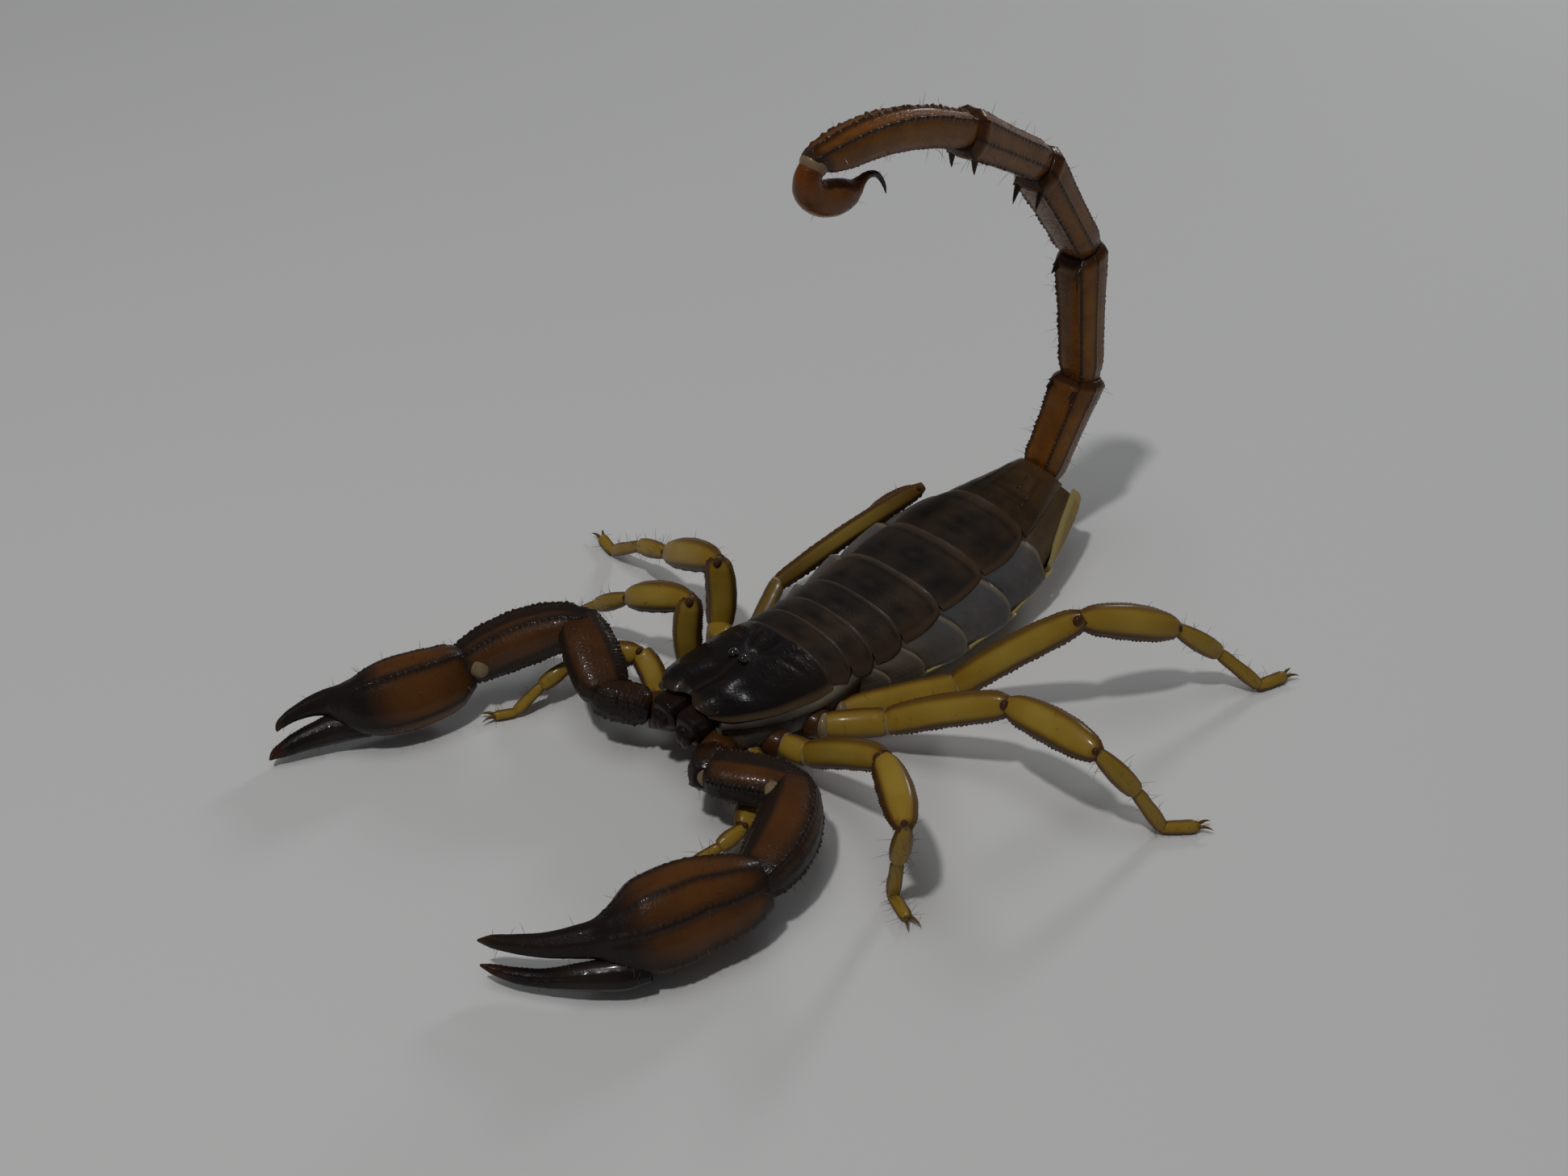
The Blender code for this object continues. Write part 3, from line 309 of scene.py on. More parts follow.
def ripple(points, scale, seed=0.0):
    """Smooth, repeatable variation between -1 and 1 over points in millimetres."""
    x, y, z = (points * scale).T
    return (np.sin(x * 1.7 + seed) * np.cos(y * 1.3 - seed * 2.1) + np.sin(y * 2.3 + z * 1.9 + seed * 1.7)
            + np.cos(z * 2.9 - x * 1.1 + seed * 0.6)) / 3.0


def granules(beads, t, seed):
    """Uneven row of beads along a keel, between 0 and 1."""
    turn = 2 * math.pi * beads * t
    wave = 0.5 + 0.3 * np.cos(turn + seed) + 0.2 * np.cos(1.63 * turn + 3 * seed)
    return np.clip(wave, 0, 1) * (0.75 + 0.25 * np.cos(0.21 * turn + 5 * seed))


def grains(points, coarse, fine):
    """Scattered low bumps where two ripples, each a (scale, seed), agree."""
    return np.maximum(ripple(points, *coarse) * ripple(points, *fine), 0)


def grows(x, start, width):
    """Ramp from 0 at the start to 1 one width further on."""
    return np.clip((x - start) / width, 0, 1)


def fades(x, end, width):
    """Ramp from 1 down to 0 over the width before the end."""
    return np.clip((end - x) / width, 0, 1)


def hump(x, middle, width):
    """Bell of height 1 around the middle."""
    return np.exp(-((x - middle) / width) ** 2)


def shares_along(points):
    """Share of the whole length at each of a row of points."""
    steps = np.concatenate(([0], np.cumsum(np.linalg.norm(np.diff(points, axis=0), axis=1))))
    return steps / steps[-1]


def rounded_ends(v, cap):
    """Share of the full size along a form whose two ends close like quarter circles."""
    edge = np.clip(np.minimum(v, 1 - v) / cap, 0.0, 1.0)
    return np.sqrt(1 - (1 - edge) ** 2)


# Meshes


def deselect():
    if bpy.context.mode != "OBJECT":
        bpy.ops.object.mode_set(mode="OBJECT")
    bpy.ops.object.select_all(action="DESELECT")


def make_active(obj):
    deselect()
    obj.select_set(True)
    bpy.context.view_layer.objects.active = obj


def formed_grid(name, columns, rows, shape):
    """Add a grid and bend it into the shape, which maps (u, v) to points in mm and named marks."""
    deselect()
    bpy.ops.mesh.primitive_grid_add(x_subdivisions=columns, y_subdivisions=rows, size=2.0)
    obj = bpy.context.object
    obj.name = name
    mesh = obj.data
    mesh.name = name
    flat = np.empty(len(mesh.vertices) * 3)
    mesh.vertices.foreach_get("co", flat)
    flat = flat.reshape(-1, 3)
    points, marks = shape(flat[:, 0] / 2 + 0.5, flat[:, 1] / 2 + 0.5)
    mesh.vertices.foreach_set("co", (points * MM).ravel())
    for key in ("keel", "rim", "tone"):
        values = np.clip(marks.get(key, np.zeros(len(points))), 0.0, 1.0)
        mesh.attributes.new(key, "FLOAT", "POINT").data.foreach_set("value", values)
    return obj


def close_seams(obj):
    """Merge seams and poles, point the faces outwards and shade smooth."""
    make_active(obj)
    bpy.ops.object.mode_set(mode="EDIT")
    bpy.ops.mesh.select_all(action="SELECT")
    bpy.ops.mesh.remove_doubles(threshold=2e-6)
    bpy.ops.mesh.normals_make_consistent(inside=False)
    bpy.ops.object.mode_set(mode="OBJECT")
    bpy.ops.object.shade_smooth()
    return obj


def thicken(obj, thickness):
    """Give an open plate its thickness on the inner side, with softened edges."""
    make_active(obj)
    bpy.ops.object.modifier_add(type="SOLIDIFY")
    wall = obj.modifiers[-1]
    wall.thickness = thickness
    wall.offset = -1.0
    wall.use_even_offset = False
    bpy.ops.object.modifier_apply(modifier=wall.name)
    bpy.ops.object.shade_smooth_by_angle(angle=math.radians(50))
    return obj


def join(name, pieces):
    """Join pieces into one object that keeps the first one's marks."""
    deselect()
    for piece in pieces:
        piece.select_set(True)
    bpy.context.view_layer.objects.active = pieces[0]
    bpy.ops.object.join()
    pieces[0].name = name
    pieces[0].data.name = name
    return pieces[0]


def keep(obj, material, slot, *nodes):
    """Give a finished piece its material and its body, and hide the solids it stands for; slot is not used.
    """
    obj.data.materials.clear()
    obj.data.materials.append(material)
    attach(obj, "root")
    if nodes:
        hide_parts(*nodes)
    return obj


def add_keels(radius, angle, t, run, keels, smooth_from):
    """Raise the beaded keels out of a form's radius, and give their stain."""
    stained = np.zeros(len(t))
    for place, height, width, beads, stain in keels:
        off = np.abs((angle - math.radians(place) + math.pi) % (2 * math.pi) - math.pi) * radius
        beaded = granules(beads, t, place) * fades(t, smooth_from, 0.06)
        radius = radius + height * hump(off, 0, width) * (0.3 + 0.7 * beaded) * run
        stained = np.maximum(stained, hump(off, 0, stain) * (0.85 + 0.15 * beaded))
    return radius, stained


def square_slide(planes, t, offset, axis, reach):
    """How far points slide along the axis so that each end lies square to its plane's normal."""
    slide = np.zeros(len(t))
    for normal, near in zip(planes, (t, 1 - t)):
        if normal is not None:
            normal = np.asarray(normal, float)
            slide = slide - fades(near / reach, 1, 1) ** 1.5 * (offset @ normal) / (axis @ normal)
    return slide


def swept(name, knots, middles, half, up, columns=40, rows=80, power=2.2, keels=(), start=None, end=None,
          cap=0.035, paint=None, rough=0.0, smooth_from=2.0):
    """A closed tapering form through the middles, with beaded keels.

    half holds (half width, half height) at each knot. A keel is (angle, height, width, beads, stain width),
    where angle 0 is sideways and 90 is up. start and end are the normals that the two ends lie square to.
    Beyond smooth_from the keels run on without their beads.
    """
    knots, middles, half = (np.asarray(each, float) for each in (knots, middles, half))
    length = float(np.linalg.norm(np.diff(middles, axis=0), axis=1).sum())
    span = knots[-1] - knots[0]

    def shape(u, v):
        t = np.clip((v - cap) / (1 - 2 * cap), 0.0, 1.0)
        s = knots[0] + span * t
        middle = ease(knots, middles, s)
        nudge = span * 0.01
        ahead = ease(knots, middles, np.clip(s + nudge, knots[0], knots[-1]))
        behind = ease(knots, middles, np.clip(s - nudge, knots[0], knots[-1]))
        axis = unit(ahead - behind)
        side = unit(np.cross(axis, np.asarray(up, float)))
        lift = np.cross(side, axis)
        size = np.maximum(ease(knots, half, s), 0.02)
        angle = u * 2 * math.pi
        c, q = np.cos(angle), np.sin(angle)
        radius = (np.abs(c / size[:, 0]) ** power + np.abs(q / size[:, 1]) ** power) ** (-1 / power)
        run = grows(t, 0, 0.07) * fades(t, 1, 0.05)
        radius, keel = add_keels(radius, angle, t, run, keels, smooth_from)
        if rough:
            spot = middle + side * (radius * c)[:, None] + lift * (radius * q)[:, None]
            radius = radius + rough * grains(spot, (4.5, 1.0), (7.1, 2.0)) * run
        shrink = rounded_ends(v, cap)
        offset = side * (radius * c * shrink)[:, None] + lift * (radius * q * shrink)[:, None]
        reach = np.maximum(size.max(axis=1) * 2.2, 0.5) / length
        slide = square_slide((start, end), t, offset, axis, reach)
        points = middle + offset + axis * slide[:, None]
        marks = {"keel": keel * grows(t, 0, 0.03)}
        if paint:
            marks.update(paint(t, angle, points, keel))
        return points, marks

    return close_seams(formed_grid(name, columns, rows, shape))


def limb(name, a, b, profile, up, width, height, bow=0.0, **more):
    """A swept form between two joints; the profile holds (fraction, width share, height share)."""
    a, b = np.asarray(a, float), np.asarray(b, float)
    axis = unit(b - a)
    lift = np.cross(unit(np.cross(axis, np.asarray(up, float))), axis)
    knots = [row[0] for row in profile]
    middles = [a + (b - a) * t + lift * bow * math.sin(math.pi * min(max(t, 0.0), 1.0)) for t in knots]
    half = [(row[1] * width, row[2] * height) for row in profile]
    return swept(name, knots, middles, half, up, **more)


def bead(name, place, radii, up=UP, along=(0.0, -1.0, 0.0), columns=24, rows=16):
    """An ellipsoid; radii run along, sideways and up."""
    place, along = np.asarray(place, float), unit(along)
    turns = [-0.999, -0.92, -0.7, -0.38, 0.0, 0.38, 0.7, 0.92, 0.999]
    middles = [place + along * radii[0] * t for t in turns]
    half = [(radii[1] * math.sqrt(1 - t * t), radii[2] * math.sqrt(1 - t * t)) for t in turns]
    return swept(name, turns, middles, half, up, columns=columns, rows=rows, power=2.0)


def spur(name, root, direction, length, radius, bend=(0.0, 0.0, 0.0), columns=12, rows=14):
    """A curved, tapering spine whose foot is sunk in what it grows from."""
    root, direction, bend = np.asarray(root, float), unit(direction), np.asarray(bend, float)
    knots = (-0.3, 0.0, 0.3, 0.6, 0.85, 1.0)
    middles = [root + direction * length * t + bend * max(t, 0.0) ** 2 for t in knots]
    shares = (1.15, 1.0, 0.78, 0.52, 0.26, 0.05)
    half = [(radius * k, radius * k) for k in shares]
    up = UP if abs(direction[2]) < 0.8 else (1.0, 0.2, 0.0)
    return swept(name, knots, middles, half, up, columns=columns, rows=rows, power=2.0)


def mark_all(obj, **values):
    """Set a mark to one value over a whole piece."""
    for key, value in values.items():
        data = obj.data.attributes[key].data
        data.foreach_set("value", np.full(len(data), value))
    return obj


def setae(name, hosts, count, seed, length=1.0, lean=(0.0, 0.0, 0.0), low=-9.0, spread=0.5):
    """Many thin bristles, rooted on the hosts' faces, as one joined mesh."""
    rng = np.random.default_rng(seed)
    centres, normals, areas = [], [], []
    for host in hosts:
        mesh = host.data
        number = len(mesh.polygons)
        for store, field, wide in ((centres, "center", 3), (normals, "normal", 3), (areas, "area", 1)):
            flat = np.empty(number * wide)
            mesh.polygons.foreach_get(field, flat)
            store.append(flat.reshape(-1, wide))
    centres, normals, areas = np.vstack(centres), np.vstack(normals), np.vstack(areas).ravel()
    areas = np.where(centres[:, 2] > low * MM, areas, 0.0)
    pick = rng.choice(len(areas), size=count, p=areas / areas.sum())
    root = centres[pick]
    out = unit(normals[pick] + np.asarray(lean) + rng.normal(0, spread, (count, 3)) * 0.5)
    inward = (out * normals[pick]).sum(axis=1) < 0.15
    out[inward] = normals[pick][inward]
    reach = sizes().seta_length * length * rng.uniform(0.45, 1.35, count)[:, None]
    hint = np.where(np.abs(out[:, 2:3]) > 0.9, np.array((1.0, 0.0, 0.0)), np.array((0.0, 0.0, 1.0)))
    side = unit(np.cross(out, hint))
    lift = np.cross(side, out)
    room = np.clip((root[:, 2:3] - 0.12 * MM) / reach, 0.0, 9.0)
    out[:, 2:3] = np.maximum(out[:, 2:3], -0.8 * room)
    droop = np.array((0.0, 0.0, -1.0)) * reach * np.minimum(0.12, 0.2 * room)
    verts = []
    for share, thick in ((-0.06, 1.0), (0.5, 0.7)):
        for k in range(3):
            angle = 2 * math.pi * k / 3
            ring = (side * math.cos(angle) + lift * math.sin(angle)) * sizes().seta_radius * thick
            verts.append(root + out * reach * share + ring + droop * max(share, 0) ** 2)
    tip = root + out * reach + droop
    verts.append(tip)
    verts = np.stack(verts, axis=1).reshape(-1, 3)
    faces = []
    for j in range(count):
        o = 7 * j
        faces.append((o + 2, o + 1, o))
        for k in range(3):
            m = (k + 1) % 3
            faces.append((o + k, o + m, o + 3 + m, o + 3 + k))
            faces.append((o + 3 + k, o + 3 + m, o + 6))
    mesh = bpy.data.meshes.new(name)
    mesh.from_pydata(verts.tolist(), [], faces)
    mesh.update()
    obj = bpy.data.objects.new(name, mesh)
    bpy.context.scene.collection.objects.link(obj)
    return obj


# Materials


def grain_group():
    """Mottle and fine relief of shell and skin, shared by every finish."""
    name = "Shell grain"
    if name in bpy.data.node_groups:
        return bpy.data.node_groups[name]
    group = bpy.data.node_groups.new(name, "ShaderNodeTree")
    face = group.interface
    for label, default in (("Mottle Scale", 900.0), ("Grain Scale", 6000.0), ("Granules", 0.4)):
        socket = face.new_socket(label, in_out="INPUT", socket_type="NodeSocketFloat")
        socket.default_value = default
    for label in ("Mottle", "Height"):
        face.new_socket(label, in_out="OUTPUT", socket_type="NodeSocketFloat")
    nodes, links = group.nodes, group.links
    entry, leave = nodes.new("NodeGroupInput"), nodes.new("NodeGroupOutput")
    place = nodes.new("ShaderNodeTexCoord")
    mottle = nodes.new("ShaderNodeTexNoise")
    mottle.inputs["Detail"].default_value = 4.0
    mottle.inputs["Roughness"].default_value = 0.6
    grain = nodes.new("ShaderNodeTexNoise")
    grain.inputs["Detail"].default_value = 3.0
    cells = nodes.new("ShaderNodeTexVoronoi")
    cells.feature = "SMOOTH_F1"
    dome = nodes.new("ShaderNodeMapRange")
    dome.inputs["From Min"].default_value = 0.1
    dome.inputs["From Max"].default_value = 0.45
    dome.inputs["To Min"].default_value = 1.0
    dome.inputs["To Max"].default_value = 0.0
    blend = nodes.new("ShaderNodeMix")
    for texture, scale in ((mottle, "Mottle Scale"), (grain, "Grain Scale"), (cells, "Grain Scale")):
        links.new(place.outputs["Object"], texture.inputs["Vector"])
        links.new(entry.outputs[scale], texture.inputs["Scale"])
    links.new(cells.outputs["Distance"], dome.inputs["Value"])
    links.new(entry.outputs["Granules"], blend.inputs["Factor"])
    links.new(grain.outputs["Fac"], blend.inputs["A"])
    links.new(dome.outputs["Result"], blend.inputs["B"])
    links.new(mottle.outputs["Fac"], leave.inputs["Mottle"])
    links.new(blend.outputs["Result"], leave.inputs["Height"])
    return group


def colour_mix(nodes, links, factor, low, high):
    """Mix two colours, each a socket or a plain colour, by a factor socket."""
    mix = nodes.new("ShaderNodeMix")
    mix.data_type = "RGBA"
    links.new(factor, mix.inputs["Factor"])
    for value, socket in ((low, mix.inputs["A"]), (high, mix.inputs["B"])):
        if isinstance(value, bpy.types.NodeSocket):
            links.new(value, socket)
        else:
            socket.default_value = (*value, 1.0)
    return mix.outputs["Result"]


def shell_finish(name, base, second, keel, rim, tone, roughness=0.32, coat=0.35, mottle_scale=700.0,
                 grain_scale=5200.0, granules=0.4, relief=0.35, contrast=1.0, gloss_level=0.16,
                 coat_ior=1.5):
    """Shell or skin whose ridges, rims and tones follow the marks on the mesh."""
    material = bpy.data.materials.new(name)
    material.use_nodes = True
    nodes, links = material.node_tree.nodes, material.node_tree.links
    shader = nodes["Principled BSDF"]
    grain = nodes.new("ShaderNodeGroup")
    grain.node_tree = grain_group()
    grain.inputs["Mottle Scale"].default_value = mottle_scale
    grain.inputs["Grain Scale"].default_value = grain_scale
    grain.inputs["Granules"].default_value = granules
    spread = nodes.new("ShaderNodeMapRange")
    spread.inputs["From Min"].default_value = 0.5 - 0.18 / contrast
    spread.inputs["From Max"].default_value = 0.5 + 0.18 / contrast
    links.new(grain.outputs["Mottle"], spread.inputs["Value"])
    colour = colour_mix(nodes, links, spread.outputs["Result"], second, base)
    for key, tint in (("tone", tone), ("rim", rim), ("keel", keel)):
        mark = nodes.new("ShaderNodeAttribute")
        mark.attribute_name = key
        colour = colour_mix(nodes, links, mark.outputs["Fac"], colour, tint)
    dull = nodes.new("ShaderNodeMath")
    dull.operation = "MULTIPLY_ADD"
    dull.inputs[1].default_value = 0.2
    links.new(mark.outputs["Fac"], dull.inputs[0])
    links.new(colour, shader.inputs["Base Color"])
    gloss = nodes.new("ShaderNodeMapRange")
    gloss.inputs["To Min"].default_value = roughness * 0.75
    gloss.inputs["To Max"].default_value = roughness * 1.3
    links.new(grain.outputs["Mottle"], gloss.inputs["Value"])
    links.new(gloss.outputs["Result"], dull.inputs[2])
    links.new(dull.outputs["Value"], shader.inputs["Roughness"])
    bump = nodes.new("ShaderNodeBump")
    bump.inputs["Strength"].default_value = relief
    bump.inputs["Distance"].default_value = 0.00006
    links.new(grain.outputs["Height"], bump.inputs["Height"])
    links.new(bump.outputs["Normal"], shader.inputs["Normal"])
    shader.inputs["Coat Weight"].default_value = coat
    shader.inputs["Coat Roughness"].default_value = 0.1
    shader.inputs["Coat IOR"].default_value = coat_ior
    shader.inputs["Specular IOR Level"].default_value = gloss_level
    return material


def make_finishes():
    """Every material of the animal, by name."""
    f = finish()
    shell, back, rim, skin = f.shell[:], f.back[:], f.rim[:], f.side_skin[:]
    amber, ochre, arm, cream = f.amber[:], f.ochre[:], f.claw_arm[:], f.cream[:]
    dark, red = f.dark_edge[:], f.red_tip[:]
    tan = (0.16, 0.10, 0.05)
    return {
        "shield": shell_finish("head_shield", shell, (0.012, 0.008, 0.008), dark, tan, (0.036, 0.022, 0.014),
                               roughness=0.36, coat=0.1, granules=0.6, relief=0.45, grain_scale=2800.0,
                               gloss_level=0.12),
        "back": shell_finish("back_plates", back, (0.024, 0.018, 0.014), dark, rim, (0.007, 0.006, 0.006),
                             roughness=0.46, coat=0.05, mottle_scale=180.0, granules=0.5, relief=0.45,
                             contrast=1.8),
        "rear_back": shell_finish("rear_back_plate", (0.064, 0.034, 0.013), (0.032, 0.020, 0.011), dark,
                                  (0.115, 0.056, 0.014), (0.008, 0.006, 0.005), roughness=0.34, coat=0.22,
                                  mottle_scale=260.0, granules=0.5, relief=0.6, contrast=1.6),
        "skin": shell_finish("side_skin", skin, (0.070, 0.070, 0.074), (0.020, 0.013, 0.010),
                             (0.20, 0.165, 0.11), (0.078, 0.042, 0.014), roughness=0.36, coat=0.16,
                             mottle_scale=240.0, granules=0.25, relief=0.4, grain_scale=2600.0,
                             contrast=1.4),
        "sternite": shell_finish("belly_plates", (0.30, 0.21, 0.06), (0.22, 0.16, 0.07), (0.05, 0.03, 0.015),
                                 (0.34, 0.27, 0.10), (0.10, 0.08, 0.06), roughness=0.3, coat=0.3,
                                 mottle_scale=300.0, granules=0.3, relief=0.25),
        "amber": shell_finish("tail_shell", amber, (0.135, 0.044, 0.005), dark, (0.36, 0.17, 0.03),
                              (0.050, 0.018, 0.006), roughness=0.3, coat=0.18, mottle_scale=500.0,
                              granules=0.6, relief=0.45),
        "sting": shell_finish("sting_bulb", (0.15, 0.042, 0.006), (0.085, 0.022, 0.005), dark,
                              (0.24, 0.10, 0.02), (0.010, 0.006, 0.005), roughness=0.28, coat=0.2,
                              granules=0.5, relief=0.4, mottle_scale=900.0, contrast=1.5),
        "ochre": shell_finish("leg_shell", ochre, (0.265, 0.145, 0.013), (0.060, 0.022, 0.007),
                              (0.46, 0.34, 0.06), (0.050, 0.018, 0.006), roughness=0.34, coat=0.16,
                              mottle_scale=300.0, granules=0.3, relief=0.15),
        "arm": shell_finish("arm_shell", arm, (0.060, 0.020, 0.006), dark, (0.15, 0.055, 0.010),
                            (0.012, 0.008, 0.007), roughness=0.34, coat=0.18, mottle_scale=420.0,
                            granules=0.5, relief=0.4),
        "finger": shell_finish("finger_shell", (0.006, 0.005, 0.005), (0.010, 0.007, 0.006), dark,
                               (0.10, 0.07, 0.05), red, roughness=0.3, coat=0.22, granules=0.4, relief=0.25),
        "joint": shell_finish("joint_skin", cream, (0.33, 0.25, 0.13), (0.1, 0.05, 0.02), (0.5, 0.42, 0.28),
                              (0.10, 0.05, 0.02), roughness=0.35, coat=0.25, granules=0.1, relief=0.3),
        "mouth": shell_finish("mouth_claws", (0.017, 0.008, 0.005), (0.011, 0.006, 0.005), dark,
                              (0.05, 0.024, 0.012), (0.008, 0.006, 0.005), roughness=0.3, coat=0.2,
                              granules=0.5, relief=0.5, gloss_level=0.12),
        "eye": shell_finish("eye_gloss", (0.004, 0.004, 0.005), (0.006, 0.006, 0.007), dark, dark, dark,
                            roughness=0.06, coat=1.0, granules=0.0, relief=0.0, gloss_level=0.4,
                            coat_ior=1.9),
        "seta": shell_finish("seta", (0.16, 0.085, 0.035), (0.10, 0.05, 0.02), dark, dark, dark,
                             roughness=0.35, coat=0.1, granules=0.0, relief=0.0),
    }


FINISHES = {}


def finish_of(name):
    """One of the animal's materials; all are made at the first call."""
    if not FINISHES:
        FINISHES.update(make_finishes())
    return FINISHES[name]


# Trunk


def dome(half, top, edge, x):
    """Height at x of an arched plate with the given half width, top and edge."""
    across = np.clip(np.abs(x) / half, 0.0, 1.0)
    return edge + (top - edge) * (1 - across ** 2.4) ** 0.6


def trunk_at(y):
    """Half width, top height and edge height of the back plates along the body."""
    half, top, edge = ease(TRUNK[:, 0], TRUNK[:, 1:], y).T
    return half + 0.35 * hump(y, 9.5, 4.5), top, edge


def across_of(u, fullness=0.86):
    """Spread the columns so that they crowd toward the steep sides."""
    w = 2 * u - 1
    return np.sign(w) * (1 - (1 - np.abs(w)) ** (1 + fullness)) ** (1 / (1 + fullness * 0.35))


class BuildCarapace(bpy.types.Operator):
    """Head shield with its notch, furrows, eye hill and six small side eyes."""

    bl_idname = "scorpion.carapace"
    bl_label = "Head shield and eyes"

    def execute(self, context):
        shield = thicken(formed_grid("carapace_shell", 150, 150, self.shield), SHIELD_THICKNESS)
        keep(shield, finish_of("shield"), "shell", "carapace")
        for label, sign in SIDES:
            self.eyes(label, sign)
            self.side_skin(label, sign)
        return {"FINISHED"}

    def shield(self, u, v):
        w = across_of(u)
        y = CARAPACE[0, 0] + (CARAPACE[-1, 0] + 0.05 - CARAPACE[0, 0]) * v
        half, top, edge, furrow = ease(CARAPACE[:, 0], CARAPACE[:, 1:], y).T
        x = half * w * 0.995
        notch = (NOTCH_DEPTH * hump(w, 0, 0.34) + 0.55 * w ** 4) * fades(v, 0.22, 0.22) ** 1.5
        z = dome(half * 1.001, top, edge, x)
        z = z - furrow * np.exp(-(np.abs(x) / 0.85) ** 1.6) * (0.6 + 0.4 * np.clip(v * 3, 0, 1))
        z = z + self.side_swellings(x, y)
        hill = hump(y, -17.3, 1.5) * hump(x, 0, 0.95)
        z = z + EYE_HILL * hill + 0.02 * ripple(np.stack((x, y, z), axis=1), 1.7, 0.9)
        z = z - self.fine_furrows(x, y)
        spots = np.stack((x, y, z), axis=1)
        z = z + (0.05 + 0.05 * v) * grains(spots, (6.0, 0.4), (8.7, 1.9)) * grows(np.abs(x), 0.8, 1)
        points = np.stack((x, y + notch, np.maximum(z, SHIELD_LOWEST)), axis=1)
        return points, self.shield_marks(x, y, w, v)

    def side_swellings(self, x, y):
        """A hollow beside the eye hill on each side, and a swelling in front of it."""
        hollow = 0.3 * hump(np.abs(x), 3.0, 0.9) * hump(y, -19.4, 1.1)
        return 0.22 * hump(np.abs(x), 2.6, 1.2) * hump(y, -21.7, 1.2) - hollow

    def fine_furrows(self, x, y):
        """Two furrows that part behind the eye hill, and one across each side."""
        rear = hump(x - np.sign(x) * (0.9 + 0.55 * (y + 15.5)), 0, 0.35)
        rear = rear * grows(y, -16.0, 1) * fades(y, -12.4, 0.6)
        side = hump(y - 0.28 * np.abs(x), -15.2, 0.4) * grows(np.abs(x), 1.6, 1) * fades(np.abs(x), 4.9, 1)
        return 0.12 * rear + 0.1 * side

    def shield_marks(self, x, y, w, v):
        margin = grows(np.abs(w), 0.93, 0.05)
        line = hump(x, 0, 0.16) * fades(y, -16.6, 0.5) * grows(y, -23.0, 1)
        front = hump(v, 0.03, 0.04)
        rear = grows(v, 0.975, 0.02)
        tone = 0.7 * np.clip((v - 0.55) * 1.4, 0, 1) * np.clip(np.abs(w) * 1.6 - 0.5, 0, 1)
        return {"rim": np.maximum.reduce((margin * 0.6, line * 0.08, front * 0.15, rear * 0.25)),
                "tone": tone}

    def eyes(self, label, sign):
        x, y, z = EYE_MIDDLE
        lens = bead(f"eye_{label}_lens", (sign * x, y, z), EYE_RADII, columns=40, rows=32)
        keep(lens, finish_of("eye"), "eye", f"eye_{label}")
        small = []
        for k in range(3):
            x, y, z = (first + step * k for first, step in zip(SIDE_EYE_FIRST, SIDE_EYE_STEP))
            small.append(bead(f"side_eye_{label}_{k}", (sign * x, y, z), SIDE_EYE_RADII))
        keep(join(f"side_eyes_{label}", small), finish_of("eye"), "eye")

    def side_skin(self, label, sign):
        rows = [*CARAPACE[1:], *SIDE_SKIN_REAR]
        knots = np.linspace(0, 1, len(rows))
        folds = [(sign * (half - 0.3), y, edge - 0.3) for y, half, _, edge, _ in rows]
        fold = swept(f"head_side_skin_{label}", knots, folds, FOLD_SIZES, UP, columns=32, rows=140,
                     rough=0.06, paint=self.fold_colours)
        flanks = [(sign * (half - 1.1), y, (edge + 2.3) / 2) for y, half, _, edge, _ in rows]
        flank = swept("flank", knots, flanks, FLANK_SIZES, UP, columns=40, rows=140, rough=0.2,
                      paint=self.flank_colours)
        keep(join(f"head_side_skin_{label}", [fold, flank]), finish_of("skin"), "membrane")

    def fold_colours(self, t, angle, points, keel):
        rear = grows(t, 0.35, 0.2) * fades(t, 0.95, 0.2)
        return {"rim": 0.15 + 0.6 * rear, "tone": 0.25 * (1 - rear), "keel": 0.35 * (1 - rear)}

    def flank_colours(self, t, angle, points, keel):
        patches = np.clip(ripple(points, 1.3, 2.0), 0, 1)
        return {"tone": 0.25 + 0.3 * patches, "keel": 0.55 * (1 - patches), "rim": 0.2 * patches}


